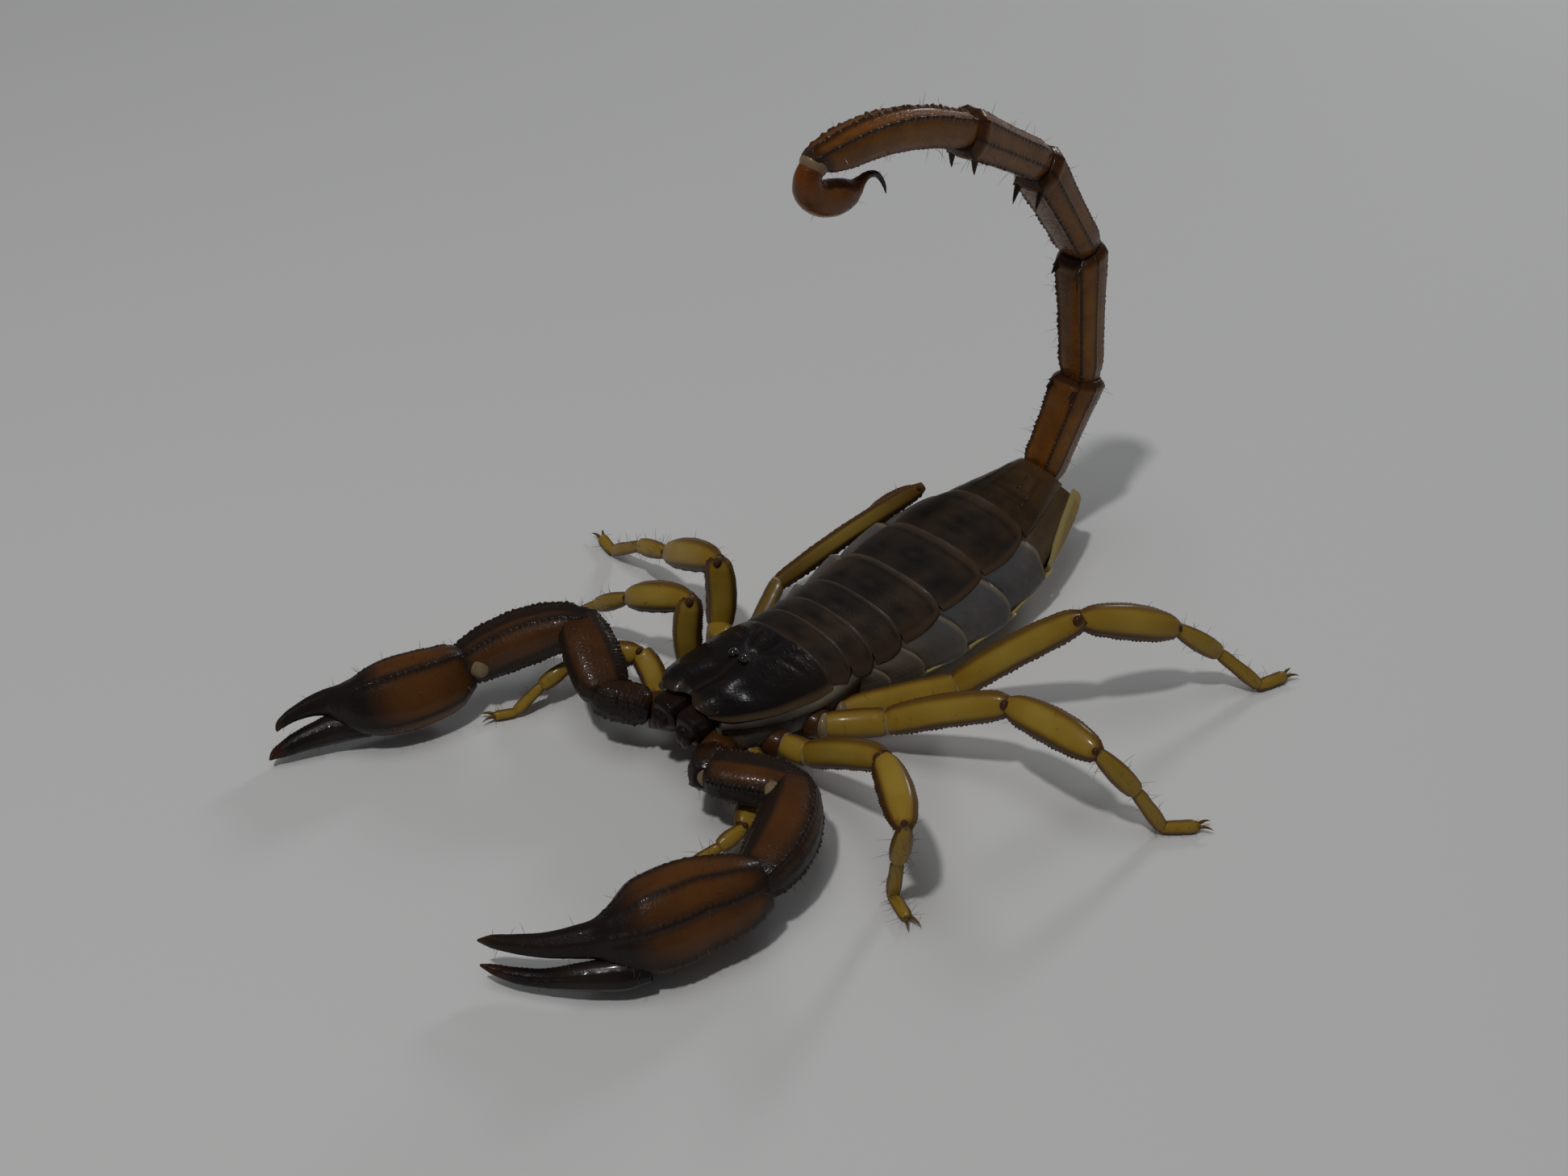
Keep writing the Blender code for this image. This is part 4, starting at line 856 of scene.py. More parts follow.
class BuildBackPlates(bpy.types.Operator):
    """Seven overlapping back plates with tan rims; the last one has four beaded keels."""

    bl_idname = "scorpion.back_plates"
    bl_label = "Back plates"

    def execute(self, context):
        for index in range(len(TRUNK) - 1):
            self.plate(index)
        return {"FINISHED"}

    def plate(self, index):
        last = index == LAST_PLATE
        y_start = TRUNK[index, 0] - 0.1
        length = TRUNK[index + 1, 0] + 0.12 - TRUNK[index, 0] + 0.1

        def shape(u, v):
            w = across_of(u)
            y = y_start + length * v
            half, top, edge = trunk_at(y)
            swell = 1.0 if last else 0.93 + 0.1 * np.sin(math.pi * (0.14 + 0.72 * v))
            x = half * swell * w
            rise = -0.30 + 0.42 * grows(v, 0, 0.85) ** 0.8 - 0.14 * grows(v, 0.9, 0.1) ** 2
            z = dome(half * swell * 1.001, top + rise, edge - 0.1, x)
            spots = np.stack((x, y, z), axis=1)
            fold = 0.05 * np.sin(v * 9.0 + 0.8 * w) * np.clip(1 - v * 1.3, 0, 1)
            rugged = (0.02 + 0.04 * v) * grains(spots, (7.0, index), (9.3, index + 2.0))
            z = z + fold + rugged + 0.05 * ripple(spots, 1.1, index * 0.7)
            rim, dark = self.marks(index, x, w, v, spots)
            if not last:
                points = np.stack((x, y + self.corners(w, v), np.maximum(z, PLATE_LOWEST)), axis=1)
                return points, {"rim": rim, "tone": dark}
            lift, keel = self.last_keels(w, half, v)
            points = np.stack((x, y + self.front_corners(w, v), np.maximum(z + lift, PLATE_LOWEST)), axis=1)
            points[:, 1] = y_start + self.room(points, y, y_start) * v ** 1.05
            rim = np.clip((v - 0.35) * 1.6, 0, 1) * (0.35 + 0.3 * np.abs(w))
            return points, {"rim": rim, "tone": dark, "keel": keel}

        plate = thicken(formed_grid(f"back_plate_{index + 1}", 110, 110 if last else 60, shape),
                        sizes().plate_thickness)
        keep(plate, finish_of("rear_back" if last else "back"), "back_plates", f"tergite_{index + 1}")

    def front_corners(self, w, v):
        return 0.1 * np.abs(w) ** 6 * np.where(v < 0.5, 1 - 2 * v, 0)

    def corners(self, w, v):
        """Both front corners set back a little, and both rear corners rounded."""
        return self.front_corners(w, v) - 0.6 * np.abs(w) ** 9 * grows(v, 0.4, 0.6)

    def room(self, points, y, y_start):
        """Length along y between the last plate's front and the plane where the tail starts."""
        normal = unit(TAIL_ENTRY)
        depth = (points - np.array(TAIL_JOINTS[0])) @ normal + 0.1
        return y - y_start - depth / normal[1]

    def last_keels(self, w, half, v):
        """Height and stain of the beaded keels on the last plate."""
        lift, stain = np.zeros(len(v)), np.zeros(len(v))
        for place in LAST_PLATE_KEELS:
            ridge = hump((w - place) * half, 0, 0.2) * grows(v, 0.15, 0.2) * fades(v, 0.9, 0.15)
            lift = lift + 0.12 * ridge * granules(27, v, place)
            stain = np.maximum(stain, ridge * 0.35)
        return lift, stain

    def marks(self, index, x, w, v, spots):
        """The tan rim and the dark pattern of a plate."""
        rim = grows(v, 0.82, 0.12) * (0.5 + 0.4 * np.abs(w) ** 3 + 0.2 * ripple(spots, 2.4, 1.0))
        rim = np.maximum(rim, grows(np.abs(w), 0.9, 0.06) * 0.7)
        rim = rim * np.clip(0.35 + (1 - v) / 0.04, 0, 1) * (0.6 if index < 3 else 1.0)
        dark = np.maximum.reduce((hump(x, 0, 1.7) * hump(v, 0.42, 0.34),
                                  0.8 * hump(np.abs(w), 0.6, 0.17) * hump(v, 0.3, 0.25),
                                  0.55 * hump(v, 0.8, 0.05)))
        dark = dark * np.clip(0.8 + 0.7 * ripple(spots, 1.9, 3.0), 0, 1)
        return rim, dark * (0.6 if index == LAST_PLATE else 0.95)


def belly_section(y, angle, grow=0.0, lobes=True):
    """Outline of the soft body around y: x, z and the share of the way along its segment."""
    breaks = BELLY[:, 0]
    half, bottom, lean = ease(breaks, BELLY[:, 1:], y).T
    plate_half, top, edge = trunk_at(y)
    c, q = np.cos(angle), np.sin(angle)
    bent = y - 1.15 * np.clip(1 - (q - 0.3) ** 2 * 3.2, -0.6, 1) + 0.75
    k = np.clip(np.searchsorted(breaks, bent) - 1, 0, len(breaks) - 2)
    part = np.clip((bent - breaks[k]) / (breaks[k + 1] - breaks[k]), 0, 1)
    puff = part ** 0.7 * (1 - grows(part, 0.93, 0.07) ** 2)
    puff = 0.92 + 0.14 * puff * fades(y, 13.9, 1.2) if lobes else 1.0
    middle = bottom + (edge - bottom) * 0.45
    wide = (half + grow) * puff
    inner = np.minimum(plate_half - 0.15, wide)
    rise = grows(q, 0, 0.75)
    over = grows(q, 0.75, 0.25)
    bulge = 2 - 0.95 * grows(y, 12.0, 4.0)
    high_x = (inner + (wide - inner) * (1 - rise ** bulge) ** (1 / bulge)) * np.sqrt(1 - over ** 2)
    high_z = middle + (edge - 0.12 - middle) * rise + (top - 1.1 - edge) * over ** 1.5
    x = np.sign(c) * np.where(q > 0, high_x, np.abs(c) ** 0.8 * wide) + lean * (1 - rise)
    z = np.where(q > 0, high_z, middle - (middle - bottom + grow) * np.abs(q) ** 0.85)
    return x, z, part


class BuildBelly(bpy.types.Operator):
    """Soft puffed sides, and the belly plates with their pointed corners and breathing slits."""

    bl_idname = "scorpion.belly"
    bl_label = "Sides and belly"

    def execute(self, context):
        body = close_seams(formed_grid("soft_sides", 160, 420, self.sides))
        keep(body, finish_of("skin"), "membrane", "belly")
        plates = [self.plate(index) for index in range(2, LAST_PLATE + 1)]
        keep(join("belly_plates", plates), finish_of("sternite"), "membrane")
        return {"FINISHED"}

    def sides(self, u, v):
        y = SOFT_FRONT + (SOFT_REAR - SOFT_FRONT) * grows(v, 0.03, 0.94)
        angle = u * 2 * math.pi
        x, z, part = belly_section(y, angle)
        middle = ease(BELLY[:, 0], BELLY[:, 2], y) * 0.5 + ease(TRUNK[:, 0], TRUNK[:, 2], y) * 0.4
        shrink = rounded_ends(v, 0.03)
        x, z = x * shrink, middle + (z - middle) * shrink
        spots = np.stack((x, y, z), axis=1)
        wrinkle = 0.025 * ripple(spots, 2.2) + 0.02 * ripple(spots, 5.5, 1.0)
        points = spots + np.stack((np.sign(np.cos(angle)) * wrinkle, 0 * y, 0 * y), axis=1)
        normal = unit(TAIL_ENTRY)
        depth = (points - np.array(TAIL_JOINTS[0])) @ normal + 0.3
        points[:, 1] -= np.maximum(depth, 0.0) / normal[1]
        points[:, 2] = np.maximum(points[:, 2], SOFT_LOWEST)
        return points, self.side_marks(y, angle, part)

    def side_marks(self, y, angle, part):
        rear = grows(part, 0.86, 0.08) * fades(part, 0.985, 0.02)
        # Painted shade in the crease between lobes: along each lobe's rear edge and on the front of the
        # next, tucked under the one before
        overlap_shade = grows(part, 0.975, 0.02) + fades(part, 0.05, 0.05)
        under = np.clip(-np.sin(angle) * 1.4 - 0.25, 0, 1)
        warm = grows(y, 11.5, 3.0)
        front = fades(y, 14.2, 1.0)
        olive = 0.5 * warm * fades(np.sin(angle), 0.45, 0.5)
        dusky = 0.45 * fades(y, 1.0, 5.0)
        return {"rim": np.maximum(rear * 0.8 * front, olive), "keel": overlap_shade * 0.7 * front,
                "tone": np.maximum.reduce((under * 0.7, warm * 0.9, dusky))}

    def plate(self, index):
        last = index == LAST_PLATE
        y_front, y_rear = BELLY[index - 1, 0] + 0.6, BELLY[index, 0] + 0.15
        grow_front, wide, reach, tip = 0.1, 0.05, 1.0, 0.48
        if last:
            y_rear = LAST_BELLY_REAR
            grow_front, wide, reach, tip = 0.2, 0.07, 0.5, 0.43

        def shape(u, v):
            raised = 0.5 + 3.0 * v ** 0.8 if last else -1.0
            angle = math.pi * (1 - 0.045 * raised * (1 - 2 * u) + u)
            y = y_front + (y_rear - y_front) * v
            x, z, _ = belly_section(y, angle, grow_front + 0.12 * v, lobes=False)
            off = np.abs(u - 0.5)
            y = y + reach * hump(off, tip, wide) * np.clip((v - 0.6) * 2.5, 0, 1) ** 0.7
            slit = hump(off, 0.3, 0.05) * hump(v, 0.55, 0.06)
            rim = np.maximum(grows(v, 0.88, 0.06), grows(off, 0.45, 0.03))
            points = np.stack((x, y, np.maximum(z - 0.02 * slit, BELLY_LOWEST)), axis=1)
            return points, {"rim": rim, "tone": np.zeros(len(x)) if last else slit}

        plate = formed_grid(f"belly_plate_{index}", 100, 40, shape)
        make_active(plate)
        bpy.ops.object.mode_set(mode="EDIT")
        bpy.ops.mesh.select_all(action="SELECT")
        bpy.ops.mesh.flip_normals()
        bpy.ops.object.mode_set(mode="OBJECT")
        return thicken(plate, BELLY_PLATE_THICKNESS)


BREAST_PROFILE = ((0.0, 2.6, 2.0), (0.25, 3.7, 2.05), (0.6, 4.3, 1.9), (1.0, 4.2, 1.3))
PALP_COXA_PROFILE = ((0.0, 1.2, 1.2), (0.5, 1.6, 1.6), (1.0, 1.45, 1.5))
COMB_PROFILE = ((0.0, 0.55, 0.26), (0.5, 0.5, 0.25), (1.0, 0.3, 0.22))
COMB_TOOTH_PROFILE = ((0.0, 0.13, 0.18), (0.6, 0.12, 0.17), (1.0, 0.08, 0.1))
COMB_TEETH = 16


class BuildBreast(bpy.types.Operator):
    """Leg bases, breast plate and comb organs under the head end."""

    bl_idname = "scorpion.breast"
    bl_label = "Leg bases and combs"

    def execute(self, context):
        pieces = [limb("breast", (0, -22.2, 3.8), (0, -11.1, 3.0), BREAST_PROFILE, UP, 1.0, 1.0, power=3.0,
                       rows=60)]
        pieces += [self.leg_base(joints, LEG_SIZE[label]) for label, joints in LEGS.items()]
        pieces += [self.arm_base(joints) for joints in PALPS.values()]
        keep(join("leg_bases", pieces), finish_of("arm"), "orange_brown", "prosoma_underside")
        for label, sign in SIDES:
            keep(self.comb(label, sign), finish_of("ochre"), "ochre_legs", f"pecten_{label}")
        return {"FINISHED"}

    def paint(self, t, angle, points, keel):
        return {"tone": 0.8 + 0.1 * np.clip(1 - 2 * t, 0, 1), "rim": 0.35 + 0 * t, "keel": keel}

    def leg_base(self, joints, size):
        end = np.array(joints[0])
        start = np.array((math.copysign(1.2, end[0]), end[1] - 1.0, end[2] - 0.2))
        profile = ((0.0, 0.9, 0.9), (0.55, 1.35 * size, 1.3 * size), (0.9, 1.3 * size, 1.28 * size),
                   (1.0, 1.15 * size, 1.15 * size))
        keels = ((250, 0.08, 0.15, 11, 0.25), (290, 0.08, 0.15, 11, 0.25))
        return limb("coxa", start, end, profile, UP, 1.0, 1.0, keels=keels, columns=32, rows=40,
                    paint=self.paint)

    def arm_base(self, joints):
        end = np.array(joints[0])
        start = np.array((math.copysign(1.6, end[0]), -20.6, 3.6))
        return limb("palp_coxa", start, end, PALP_COXA_PROFILE, UP, 1.0, 1.0, columns=32, rows=40,
                    paint=self.paint, keels=((270, 0.1, 0.2, 11, 0.3),))

    def comb(self, label, sign):
        start, end = np.array((sign * 0.9, -10.2, 0.72)), np.array((sign * 5.6, -7.6, 0.72))
        pieces = [limb("spine", start, end, COMB_PROFILE, UP, 1, 1, columns=20, rows=30)]
        for k in range(COMB_TEETH):
            root = start + (end - start) * (0.05 + 0.058 * k)
            tip = root + np.array((sign * 0.15, 1.55 - 0.035 * k, 0.0))
            pieces.append(limb("tooth", root, tip, COMB_TOOTH_PROFILE, UP, 1, 1, columns=10, rows=12))
        return join(f"comb_{label}", pieces)


MOUTH_HAND_PROFILE = ((0.0, 1.15, 1.1), (0.35, 1.24, 1.3), (0.75, 1.26, 1.3), (0.93, 1.15, 1.2),
                      (1.03, 0.9, 0.95))
MOUTH_FINGER_PROFILE = ((0.0, 0.7, 0.66), (0.5, 0.58, 0.52), (0.85, 0.34, 0.3), (1.0, 0.14, 0.12))


class BuildChelicerae(bpy.types.Operator):
    """The two small mouth claws, each with toothed fingers."""

    bl_idname = "scorpion.chelicerae"
    bl_label = "Mouth claws"

    def execute(self, context):
        for label, sign in SIDES:
            keep(self.claw(label, sign), finish_of("mouth"), "shell", f"chelicera_{label}")
        return {"FINISHED"}

    def claw(self, label, sign):
        base, front = np.array((sign * 1.3, -21.9, 6.0)), np.array((sign * 1.38, -24.5, 5.95))
        pieces = [limb("hand", base, front, MOUTH_HAND_PROFILE, UP, 1, 1, columns=64, rows=60, power=3.2,
                       rough=0.05, paint=self.paint,
                       keels=((50, 0.1, 0.16, 7, 0.25), (130, 0.1, 0.16, 7, 0.25)))]
        for inner, out, drop in ((-1, 0.3, -1.1), (1, 0.5, -1.3)):
            root = front + np.array((inner * sign * out, 0.6, 0.0))
            tip = front + np.array((inner * sign * 0.25, -0.45, drop))
            pieces.append(limb("finger", root, tip, MOUTH_FINGER_PROFILE, UP, 1, 1, bow=0.25, columns=24,
                               rows=30, keels=((270, 0.12, 0.14, 4, 0.15),)))
        return join(f"mouth_claw_{label}", pieces)

    def paint(self, t, angle, points, keel):
        return {"tone": 0.6 * np.clip(1 - t * 2, 0, 1), "rim": 0.35 * np.clip(1 - np.abs(t - 0.5) * 4, 0, 1)}


# Tail

TAIL_PROFILE = ((-0.1, 0.72, 0.72), (0.0, 0.78, 0.78), (0.07, 0.88, 0.88), (0.3, 0.93, 0.93),
                (0.6, 0.98, 0.98), (0.86, 1.05, 1.07), (0.93, 1.04, 1.06), (0.975, 0.84, 0.84))
LAST_PROFILE = ((-0.05, 0.86, 0.86), (0.1, 0.95, 0.95), (0.3, 1.02, 1.02), (0.6, 1.0, 1.0),
                (0.82, 0.92, 0.92), (0.94, 0.74, 0.74), (1.0, 0.62, 0.62))
LAST_LENGTH = 4
LAST_ARCH = 1.15
# Keels of a tail length: angle, share of the bead height
TAIL_KEELS = ((52, 1.5), (128, 1.5), (8, 0.6), (172, 0.6), (322, 0.5), (218, 0.5), (288, 0.5), (252, 0.5))
# Keels of the last length: angle, share of the bead height, number of beads
LAST_KEELS = ((50, 0.6, 30), (130, 0.6, 30), (318, 1.6, 19), (222, 1.6, 19), (270, 1.9, 21))


class BuildTail(bpy.types.Operator):
    """Five keeled tail lengths with spurs, and the sting."""

    bl_idname = "scorpion.tail"
    bl_label = "Tail and sting"

    def execute(self, context):
        bristled = [self.length(index) for index in range(len(TAIL_HALF))]
        bristled.append(self.sting())
        hairs = setae("tail_setae", bristled, 260, 11, length=1.0, spread=0.4)
        keep(hairs, finish_of("seta"), "amber_tail")
        return {"FINISHED"}

    def length(self, index):
        a, b = np.array(TAIL_JOINTS[index]), np.array(TAIL_JOINTS[index + 1])
        width, height = TAIL_HALF[index]
        up = np.array(TAIL_CENTRE) - (a + b) / 2
        last = index == LAST_LENGTH
        start = TAIL_ENTRY if index == 0 else joint_normal(TAIL_JOINTS[index - 1], a, b)
        end = TAIL_LEAVE if last else joint_normal(a, b, TAIL_JOINTS[index + 2])
        body = limb(f"tail_{index + 1}", a, b, LAST_PROFILE if last else TAIL_PROFILE, up, width, height,
                    bow=-LAST_ARCH if last else 0.0, power=2.6, keels=self.keels(last), start=start, end=end,
                    columns=120, rows=190, paint=self.paint, rough=0.08)
        pieces = [body]
        if not last:
            pieces += self.spurs(b, unit(b - a), up, width, height, SPUR_LENGTH[index])
        piece = join(f"tail_length_{index + 1}", pieces)
        return keep(piece, finish_of("amber"), "amber_tail", f"metasoma_{index + 1}")

    def keels(self, last):
        """The beaded keels, each on a low, wide ridge."""
        high = sizes().bead_height / MM
        if last:
            beaded = [(angle, high * share, 0.16, beads, 0.17) for angle, share, beads in LAST_KEELS]
        else:
            beaded = [(angle, high * share, 0.14, 21, 0.15) for angle, share in TAIL_KEELS]
        return beaded + [(row[0], 0.1, 0.36, 0, 0.02) for row in beaded]

    def spurs(self, joint, axis, up, width, height, length):
        side = unit(np.cross(axis, up))
        lift = np.cross(side, axis)
        made = []
        for sign in (-1, 1):
            root = joint - axis * 1.5 + lift * height * 0.86 + side * sign * width * 0.62
            one = spur("spur", root, lift * 0.85 - axis * 0.35, length, 0.34, bend=-axis * 0.15 * length,
                       columns=20, rows=24)
            made.append(mark_all(one, keel=0.9))
        return made

    def paint(self, t, angle, points, keel):
        groove = hump(np.degrees(angle), 90, 30) * 0.35
        ends = np.maximum(fades(t, 0.05, 0.05), grows(t, 0.93, 0.04))
        pale = 0.3 * hump(t, 0.45, 0.3) * np.clip(np.cos(angle * 2 - 0.3), 0, 1)
        return {"tone": np.maximum.reduce((ends, groove, 0.5 * keel ** 0.2)), "rim": pale,
                "keel": keel * 0.85}

    def sting(self):
        x = TAIL_JOINTS[-1][0]
        middles = np.array([(x, y, z) for y, z, _ in TELSON])
        half = [(r * 0.98, r * 0.98) for _, _, r in TELSON]
        body = swept("sting_bulb", shares_along(middles), middles, half, (1, 0, 0), columns=72, rows=150,
                     power=2.0, rough=0.08, paint=self.sting_paint)
        skin = bead("sting_joint_skin", STING_SKIN_PLACE, STING_SKIN_RADII, along=(0, -0.75, -0.66),
                    columns=32, rows=24)
        keep(mark_all(skin, tone=0.62), finish_of("joint"), "membrane")
        return keep(body, finish_of("sting"), "red_brown", "telson")

    def sting_paint(self, t, angle, points, keel):
        seams = hump(np.cos(angle * 2), 0, 0.35) * grows(t, 0.2, 0.1)
        return {"tone": np.maximum(grows(t, 0.66, 0.12), 0.3 * seams), "rim": 0.5 * hump(t, 0.3, 0.15)}


# Legs

TROCHANTER_PROFILE = ((-0.05, 1.0, 0.7), (0.1, 1.2, 0.9), (0.4, 1.38, 1.02), (0.75, 1.3, 1.04),
                      (0.95, 1.08, 0.92), (1.03, 0.7, 0.62))
FEMUR_PROFILE = ((-0.04, 0.6, 0.6), (0.0, 0.74, 0.74), (0.06, 0.88, 0.86), (0.2, 0.98, 0.95),
                 (0.5, 1.03, 1.0), (0.8, 0.98, 0.95), (0.93, 0.88, 0.84), (1.0, 0.7, 0.66),
                 (1.04, 0.52, 0.48))
PATELLA_PROFILE = ((-0.04, 0.45, 0.4), (0.02, 0.6, 0.56), (0.1, 0.82, 0.78), (0.28, 1.0, 0.97),
                   (0.55, 1.06, 1.05), (0.8, 0.98, 0.93), (0.93, 0.78, 0.74), (1.0, 0.58, 0.54),
                   (1.03, 0.44, 0.4))
TIBIA_PROFILE = ((-0.05, 0.6, 0.5), (0.05, 0.8, 0.66), (0.3, 1.05, 0.9), (0.6, 1.15, 1.02),
                 (0.85, 1.05, 0.94), (1.0, 0.85, 0.74), (1.04, 0.66, 0.56))
BASITARSUS_PROFILE = ((-0.04, 0.7, 0.6), (0.1, 0.95, 0.86), (0.4, 1.02, 0.94), (0.8, 1.1, 0.98),
                      (0.97, 0.85, 0.75), (1.02, 0.6, 0.5))
TELOTARSUS_PROFILE = ((-0.1, 0.8, 0.8), (0.1, 1.15, 1.0), (0.5, 1.22, 1.08), (0.9, 1.05, 0.95),
                      (1.0, 0.7, 0.7))
# Half heights of a full-size leg's parts
TROCHANTER_HALF = 1.15
FEMUR_HALF = 1.3
PATELLA_HALF = 1.36
TIBIA_HALF = 0.85
BASITARSUS_HALF = 0.62
TELOTARSUS_HALF = 0.5
# Knobs beside the knee and the patella's end: joint, distance from the joint, radii
LEG_KNOBS = ((2, 0.5, (0.46, 0.38, 0.5)), (3, 0.34, (0.36, 0.32, 0.38)))
# Skin inside the joints from the knee on: joint, radius
LEG_SKINS = ((2, 0.6), (3, 0.5), (4, 0.42), (5, 0.36))


def leg_up(a, b):
    """Direction of a leg part's upper edge, with the flat face turned outward."""
    up = np.cross(LEG_FACE, unit(b - a))
    return up if up[2] > 0 else -up


def outline(angle, start=0.72, face=0.0):
    """Mark that grows toward a form's two edges, which lie a quarter turn from its broad faces."""
    return grows(np.abs(np.sin(angle - math.radians(face))), start, 0.15)


def leg_part(name, a, b, profile, half, **more):
    """A flattened leg part between two joints."""
    return limb(name, a, b, profile, leg_up(a, b), half * LEG_FLATTEN, half, **more)


class BuildLegs(bpy.types.Operator):
    """Eight walking legs with beaded lower edges, claws and setae."""

    bl_idname = "scorpion.legs"
    bl_label = "Legs"

    def execute(self, context):
        hosts, feet, skins = [], [], []
        for label, joints in LEGS.items():
            upper, middle, foot, skin = self.leg(label, [np.array(j, float) for j in joints])
            hosts += [upper, middle]
            feet.append(foot)
            skins += skin
        hairs = setae("leg_setae", hosts, 150, 21, length=0.8, spread=0.6)
        keep(hairs, finish_of("seta"), "ochre_legs")
        hairs = setae("foot_setae", feet, 460, 22, length=1.0, lean=(0, 0, 0.15), spread=0.7, low=0.12)
        keep(hairs, finish_of("seta"), "ochre_legs")
        keep(join("leg_joint_skin", skins), finish_of("joint"), "membrane")
        return {"FINISHED"}

    def leg(self, label, points):
        size = LEG_SIZE[label]
        shade = LEG_SHADE.get(label, 0.0)
        points[5][2] = 0.84 * BASITARSUS_HALF * size
        points[6][2] = 0.9 * TELOTARSUS_HALF * size
        edge = ((270, 0.26, 0.13, 25, 0.3 * size), (90, 0.1, 0.12, 23, 0.3 * size))

        def paint(t, angle, spots, keel):
            ends = np.maximum(grows(t, 0.9, 0.1) ** 1.5, 0.7 * fades(t, 0.08, 0.08) ** 1.5)
            pale = 0.35 * hump(t, 0.5, 0.3) * (1 - np.clip(keel * 1.5, 0, 1))
            glow = 0.35 * np.abs(np.sin(angle)) ** 3
            line = outline(angle) * (0.75 - 0.15 * np.sin(angle))
            return {"tone": np.maximum(np.maximum(ends * 0.9, glow), shade),
                    "keel": np.maximum(keel * 0.9, line), "rim": pale * (1 - outline(angle, 0.6))}

        def plain(t, angle, spots, keel):
            glow = 0.35 * np.abs(np.sin(angle)) ** 5
            ends = 0.6 * np.maximum(grows(t, 0.92, 0.08), fades(t, 0.08, 0.08))
            return {"tone": np.maximum(np.maximum(ends, glow + 0.1), shade),
                    "rim": 0.15 * (1 - outline(angle, 0.6)),
                    "keel": np.maximum(keel * 0.7, 0.65 * outline(angle, 0.75))}

        trochanter = leg_part("trochanter", points[0], points[1], TROCHANTER_PROFILE, TROCHANTER_HALF * size,
                              columns=40, rows=60, keels=((270, 0.08, 0.13, 15, 0.3),), paint=plain)
        femur = leg_part("femur", points[1], points[2], FEMUR_PROFILE, FEMUR_HALF * size, bow=0.25,
                         keels=edge, paint=paint, rows=170, columns=64, power=2.4)
        upper = join(f"leg_{label}_upper", [femur, trochanter, *self.knobs(points, size, *LEG_KNOBS[0])])
        keep(upper, finish_of("ochre"), "ochre_legs", f"leg_{label}_femur")
        patella = leg_part("patella", points[2], points[3], PATELLA_PROFILE, PATELLA_HALF * size, bow=0.2,
                           keels=edge, paint=paint, rows=150, columns=64, power=2.4)
        middle = join(f"leg_{label}_middle", [patella, *self.knobs(points, size, *LEG_KNOBS[1])])
        keep(middle, finish_of("ochre"), "ochre_legs", f"leg_{label}_patella")
        foot = self.foot(label, points, size, plain)
        keep(foot, finish_of("ochre"), "ochre_legs", f"leg_{label}_foot")
        return upper, middle, foot, self.skins(points, size)

    def knobs(self, points, size, place, reach, radii):
        """The two hinge knobs beside a joint."""
        axis = points[place] - points[place - 1]
        side = unit(np.cross(axis, leg_up(points[place - 1], points[place]))) * reach * size
        radii = [radius * size for radius in radii]
        made = [bead("knob", points[place] + side * sign, radii, columns=20, rows=16) for sign in (-1, 1)]
        return [mark_all(knob, keel=1.0) for knob in made]

    def skins(self, points, size):
        """Cream skin inside every joint of a leg."""
        made = [bead("skin", points[1], (0.5 * size, 0.86 * size, 1.08 * size), columns=24, rows=16,
                     along=points[2] - points[0], up=leg_up(points[1], points[2])),
                bead("skin", points[0], (0.7 * size, 1.1 * size, 1.15 * size), columns=24, rows=16,
                     along=points[1] - points[0])]
        for skin, tone in zip(made, (0.4, 0.6)):
            mark_all(skin, tone=tone)
        for place, radius in LEG_SKINS:
            radius = radius * size
            skin = bead("skin", points[place], (radius * 0.8, radius * 0.72, radius), columns=16, rows=12,
                        along=points[place + 1] - points[place - 1])
            made.append(mark_all(skin, tone=0.85))
        return made

    def foot(self, label, points, size, plain):
        toe = points[5] + (points[6] - points[5]) * 0.78
        pieces = [
            leg_part("tibia", points[3], points[4], TIBIA_PROFILE, TIBIA_HALF * size,
                     keels=((270, 0.07, 0.1, 19, 0.22),), paint=plain, rows=80, columns=40),
            leg_part("basitarsus", points[4], points[5], BASITARSUS_PROFILE, BASITARSUS_HALF * size,
                     keels=((250, 0.07, 0.09, 13, 0.14), (290, 0.07, 0.09, 13, 0.14)), paint=plain, rows=64,
                     columns=36),
            leg_part("telotarsus", points[5], toe, TELOTARSUS_PROFILE, TELOTARSUS_HALF * size,
                     keels=((250, 0.05, 0.08, 11, 0.12), (290, 0.05, 0.08, 11, 0.12)), paint=plain, rows=50,
                     columns=36),
        ]
        axis = unit(points[6] - points[5])
        side = unit(np.cross(axis, UP))
        for sign in (-1, 1):
            root = toe + side * sign * 0.2 + np.array((0, 0, 0.12))
            grow = axis + side * sign * 0.35 + np.array((0, 0, 0.45))
            one = spur("claw", root, grow, 1.15, 0.16, bend=(0, 0, -0.55), columns=14, rows=24)
            pieces.append(mark_all(one, tone=0.75))
        foot = join(f"leg_{label}_lower", pieces)
        flat = np.empty(len(foot.data.vertices) * 3)
        foot.data.vertices.foreach_get("co", flat)
        flat = flat.reshape(-1, 3)
        flat[:, 2] = np.maximum(flat[:, 2], 0.0)
        foot.data.vertices.foreach_set("co", flat.ravel())
        return foot


# Claw arms

